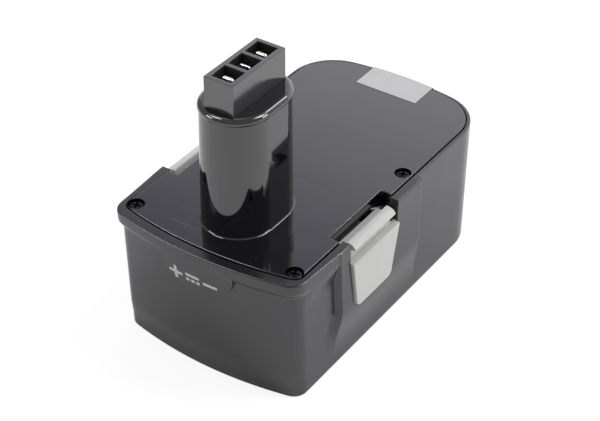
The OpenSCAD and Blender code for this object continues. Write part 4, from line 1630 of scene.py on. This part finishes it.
@dataclass
class Studio:
    """Pale floor, soft light and the camera."""

    floor_m: float = 6.0
    glow: float = 0.8
    catch_light: float = 0.26
    bounce: float = 0.9
    azimuth: float = 34.2
    elevation: float = 36.8
    roll: float = 0.3
    offset_mm: Spot = (-2.18, 23.69, 636.64)
    focal_px: float = 1678.6
    image_px: float = 600.0
    sensor_mm: float = 36.0
    sky: float = 0.45
    card_m: float = 1.6
    card_x: float = -0.5
    card_y: float = 1.1
    card_light: float = 1.45
    card_fade: Point = (0.68, 1.3)
    card_low: Colour = (1.0, 0.99, 1.04)
    card_high: Colour = (0.335, 0.325, 0.42)
    lamps: tuple[Lamp, ...] = (
        Lamp("overhead", (-0.58, -0.3, 1.15), (-0.2, -0.15, 0.0), 0.4, 3.4),
        Lamp("key", (0.72, 0.55, 1.24), (0.0, 0.0, 0.03), 0.6, 8.2),
        Lamp("edge", (0.28, 0.92, 1.07), (0.0, 0.0, 0.05), 0.24, 1.8),
        Lamp("front_fill", (-0.78, -0.74, 0.5), (-0.45, -0.42, 0.0), 0.35, 3.0),
        Lamp("side_fill", (0.95, 0.5, 0.38), (0.6, 0.3, 0.0), 0.35, 3.4),
    )

    def build(self) -> None:
        """Set up the stage."""
        self.floor()
        self.backdrop()
        self.light()
        self.camera()
        bpy.context.scene.view_settings.view_transform = "Standard"

    def floor(self) -> None:
        """Lay a white floor that keeps a faint shadow."""
        mesh = bmesh.new()
        bmesh.ops.create_grid(mesh, x_segments=1, y_segments=1, size=self.floor_m / 2)
        data = mesh_data("floor", mesh)
        shader = Shader("floor_white")
        seen = shader.node("ShaderNodeLightPath", output="Is Camera Ray")
        glow = shader.node("ShaderNodeEmission", None, {"Color": WHITE, "Strength": self.glow})
        share = shader.node("ShaderNodeBsdfDiffuse", None, {"Color": (self.catch_light,) * 3})
        white = shader.node("ShaderNodeAddShader", None, {0: glow, 1: share})
        plain = shader.node("ShaderNodeBsdfDiffuse", None, {"Color": (self.bounce,) * 3})
        both = shader.node("ShaderNodeMixShader", None, {0: seen, 1: plain, 2: white})
        shader.fill(shader.output, {"Surface": both})
        data.materials.append(shader.material)
        floor = put("floor", data)

    def backdrop(self) -> None:
        """Hang a white card behind the pack, brightest near the floor."""
        mesh = bmesh.new()
        bmesh.ops.create_grid(mesh, x_segments=1, y_segments=1, size=self.card_m,
                              matrix=upright((self.card_x, self.card_y, self.card_m)))
        data = mesh_data("backdrop", mesh)
        shader = Shader("backdrop_white")
        height = shader.node("ShaderNodeSeparateXYZ", None, {0: shader.place()}, "Z")
        tone = shader.mix(shader.band(height, *self.card_fade), self.card_low, self.card_high)
        data.materials.append(shader.finish(Base_Color=(0.0, 0.0, 0.0), Emission_Color=tone,
                                            Emission_Strength=self.card_light, Roughness=1.0))
        card = put("backdrop", data)

    def light(self) -> None:
        """Light the stage with a pale world and soft lamps."""
        world = bpy.data.worlds.new("white_tent")
        bpy.context.scene.world = world
        world.use_nodes = True
        world.node_tree.nodes.clear()
        graph = Graph(world.node_tree)
        seen = graph.node("ShaderNodeLightPath", output="Is Camera Ray")
        dim = graph.node("ShaderNodeBackground", None, {"Color": WHITE, "Strength": self.sky})
        white = graph.node("ShaderNodeBackground", None, {"Color": WHITE, "Strength": 1.0})
        both = graph.node("ShaderNodeMixShader", None, {0: seen, 1: dim, 2: white})
        output = world.node_tree.nodes.new("ShaderNodeOutputWorld")
        graph.fill(output, {"Surface": both})
        for lamp in self.lamps:
            lamp.hang()

    def camera(self) -> None:
        """Place the camera at the photograph's angle."""
        a, e, r = (math.radians(v) for v in (self.azimuth, self.elevation, self.roll))
        back = Vector((math.sin(a) * math.cos(e), -math.cos(a) * math.cos(e), math.sin(e)))
        right = Vector((math.cos(a), math.sin(a), 0.0))
        up = back.cross(right)
        turned = math.cos(r) * right + math.sin(r) * up
        level = math.cos(r) * up - math.sin(r) * right
        x, y, z = self.offset_mm
        place = (turned * x + level * y + back * z) * MM
        data = bpy.data.cameras.new("camera")
        data.sensor_width = self.sensor_mm
        data.lens = self.focal_px / self.image_px * data.sensor_width
        camera = put("camera", data)
        turn = Matrix((turned, level, back)).transposed().to_4x4()
        camera.matrix_world = Matrix.Translation(place) @ turn
        bpy.context.scene.camera = camera


def main() -> None:
    """Build the classes in order."""
    logging.basicConfig(level=logging.INFO, format="%(message)s")
    shop = Workshop()
    Studio().build()
    form = CaseForm()
    case = LowerCase(shop, form).build()
    cover = TopCover(shop, form)
    cover.build()
    CoverScrews(shop, form, cover).build()
    ContactBlock(shop, form).build()
    Latches(shop, form).build()
    papers = Papers(shop, form)
    papers.seal()
    papers.signs(case)
    Inside(shop).build()


if __name__ == "__main__":
    main()
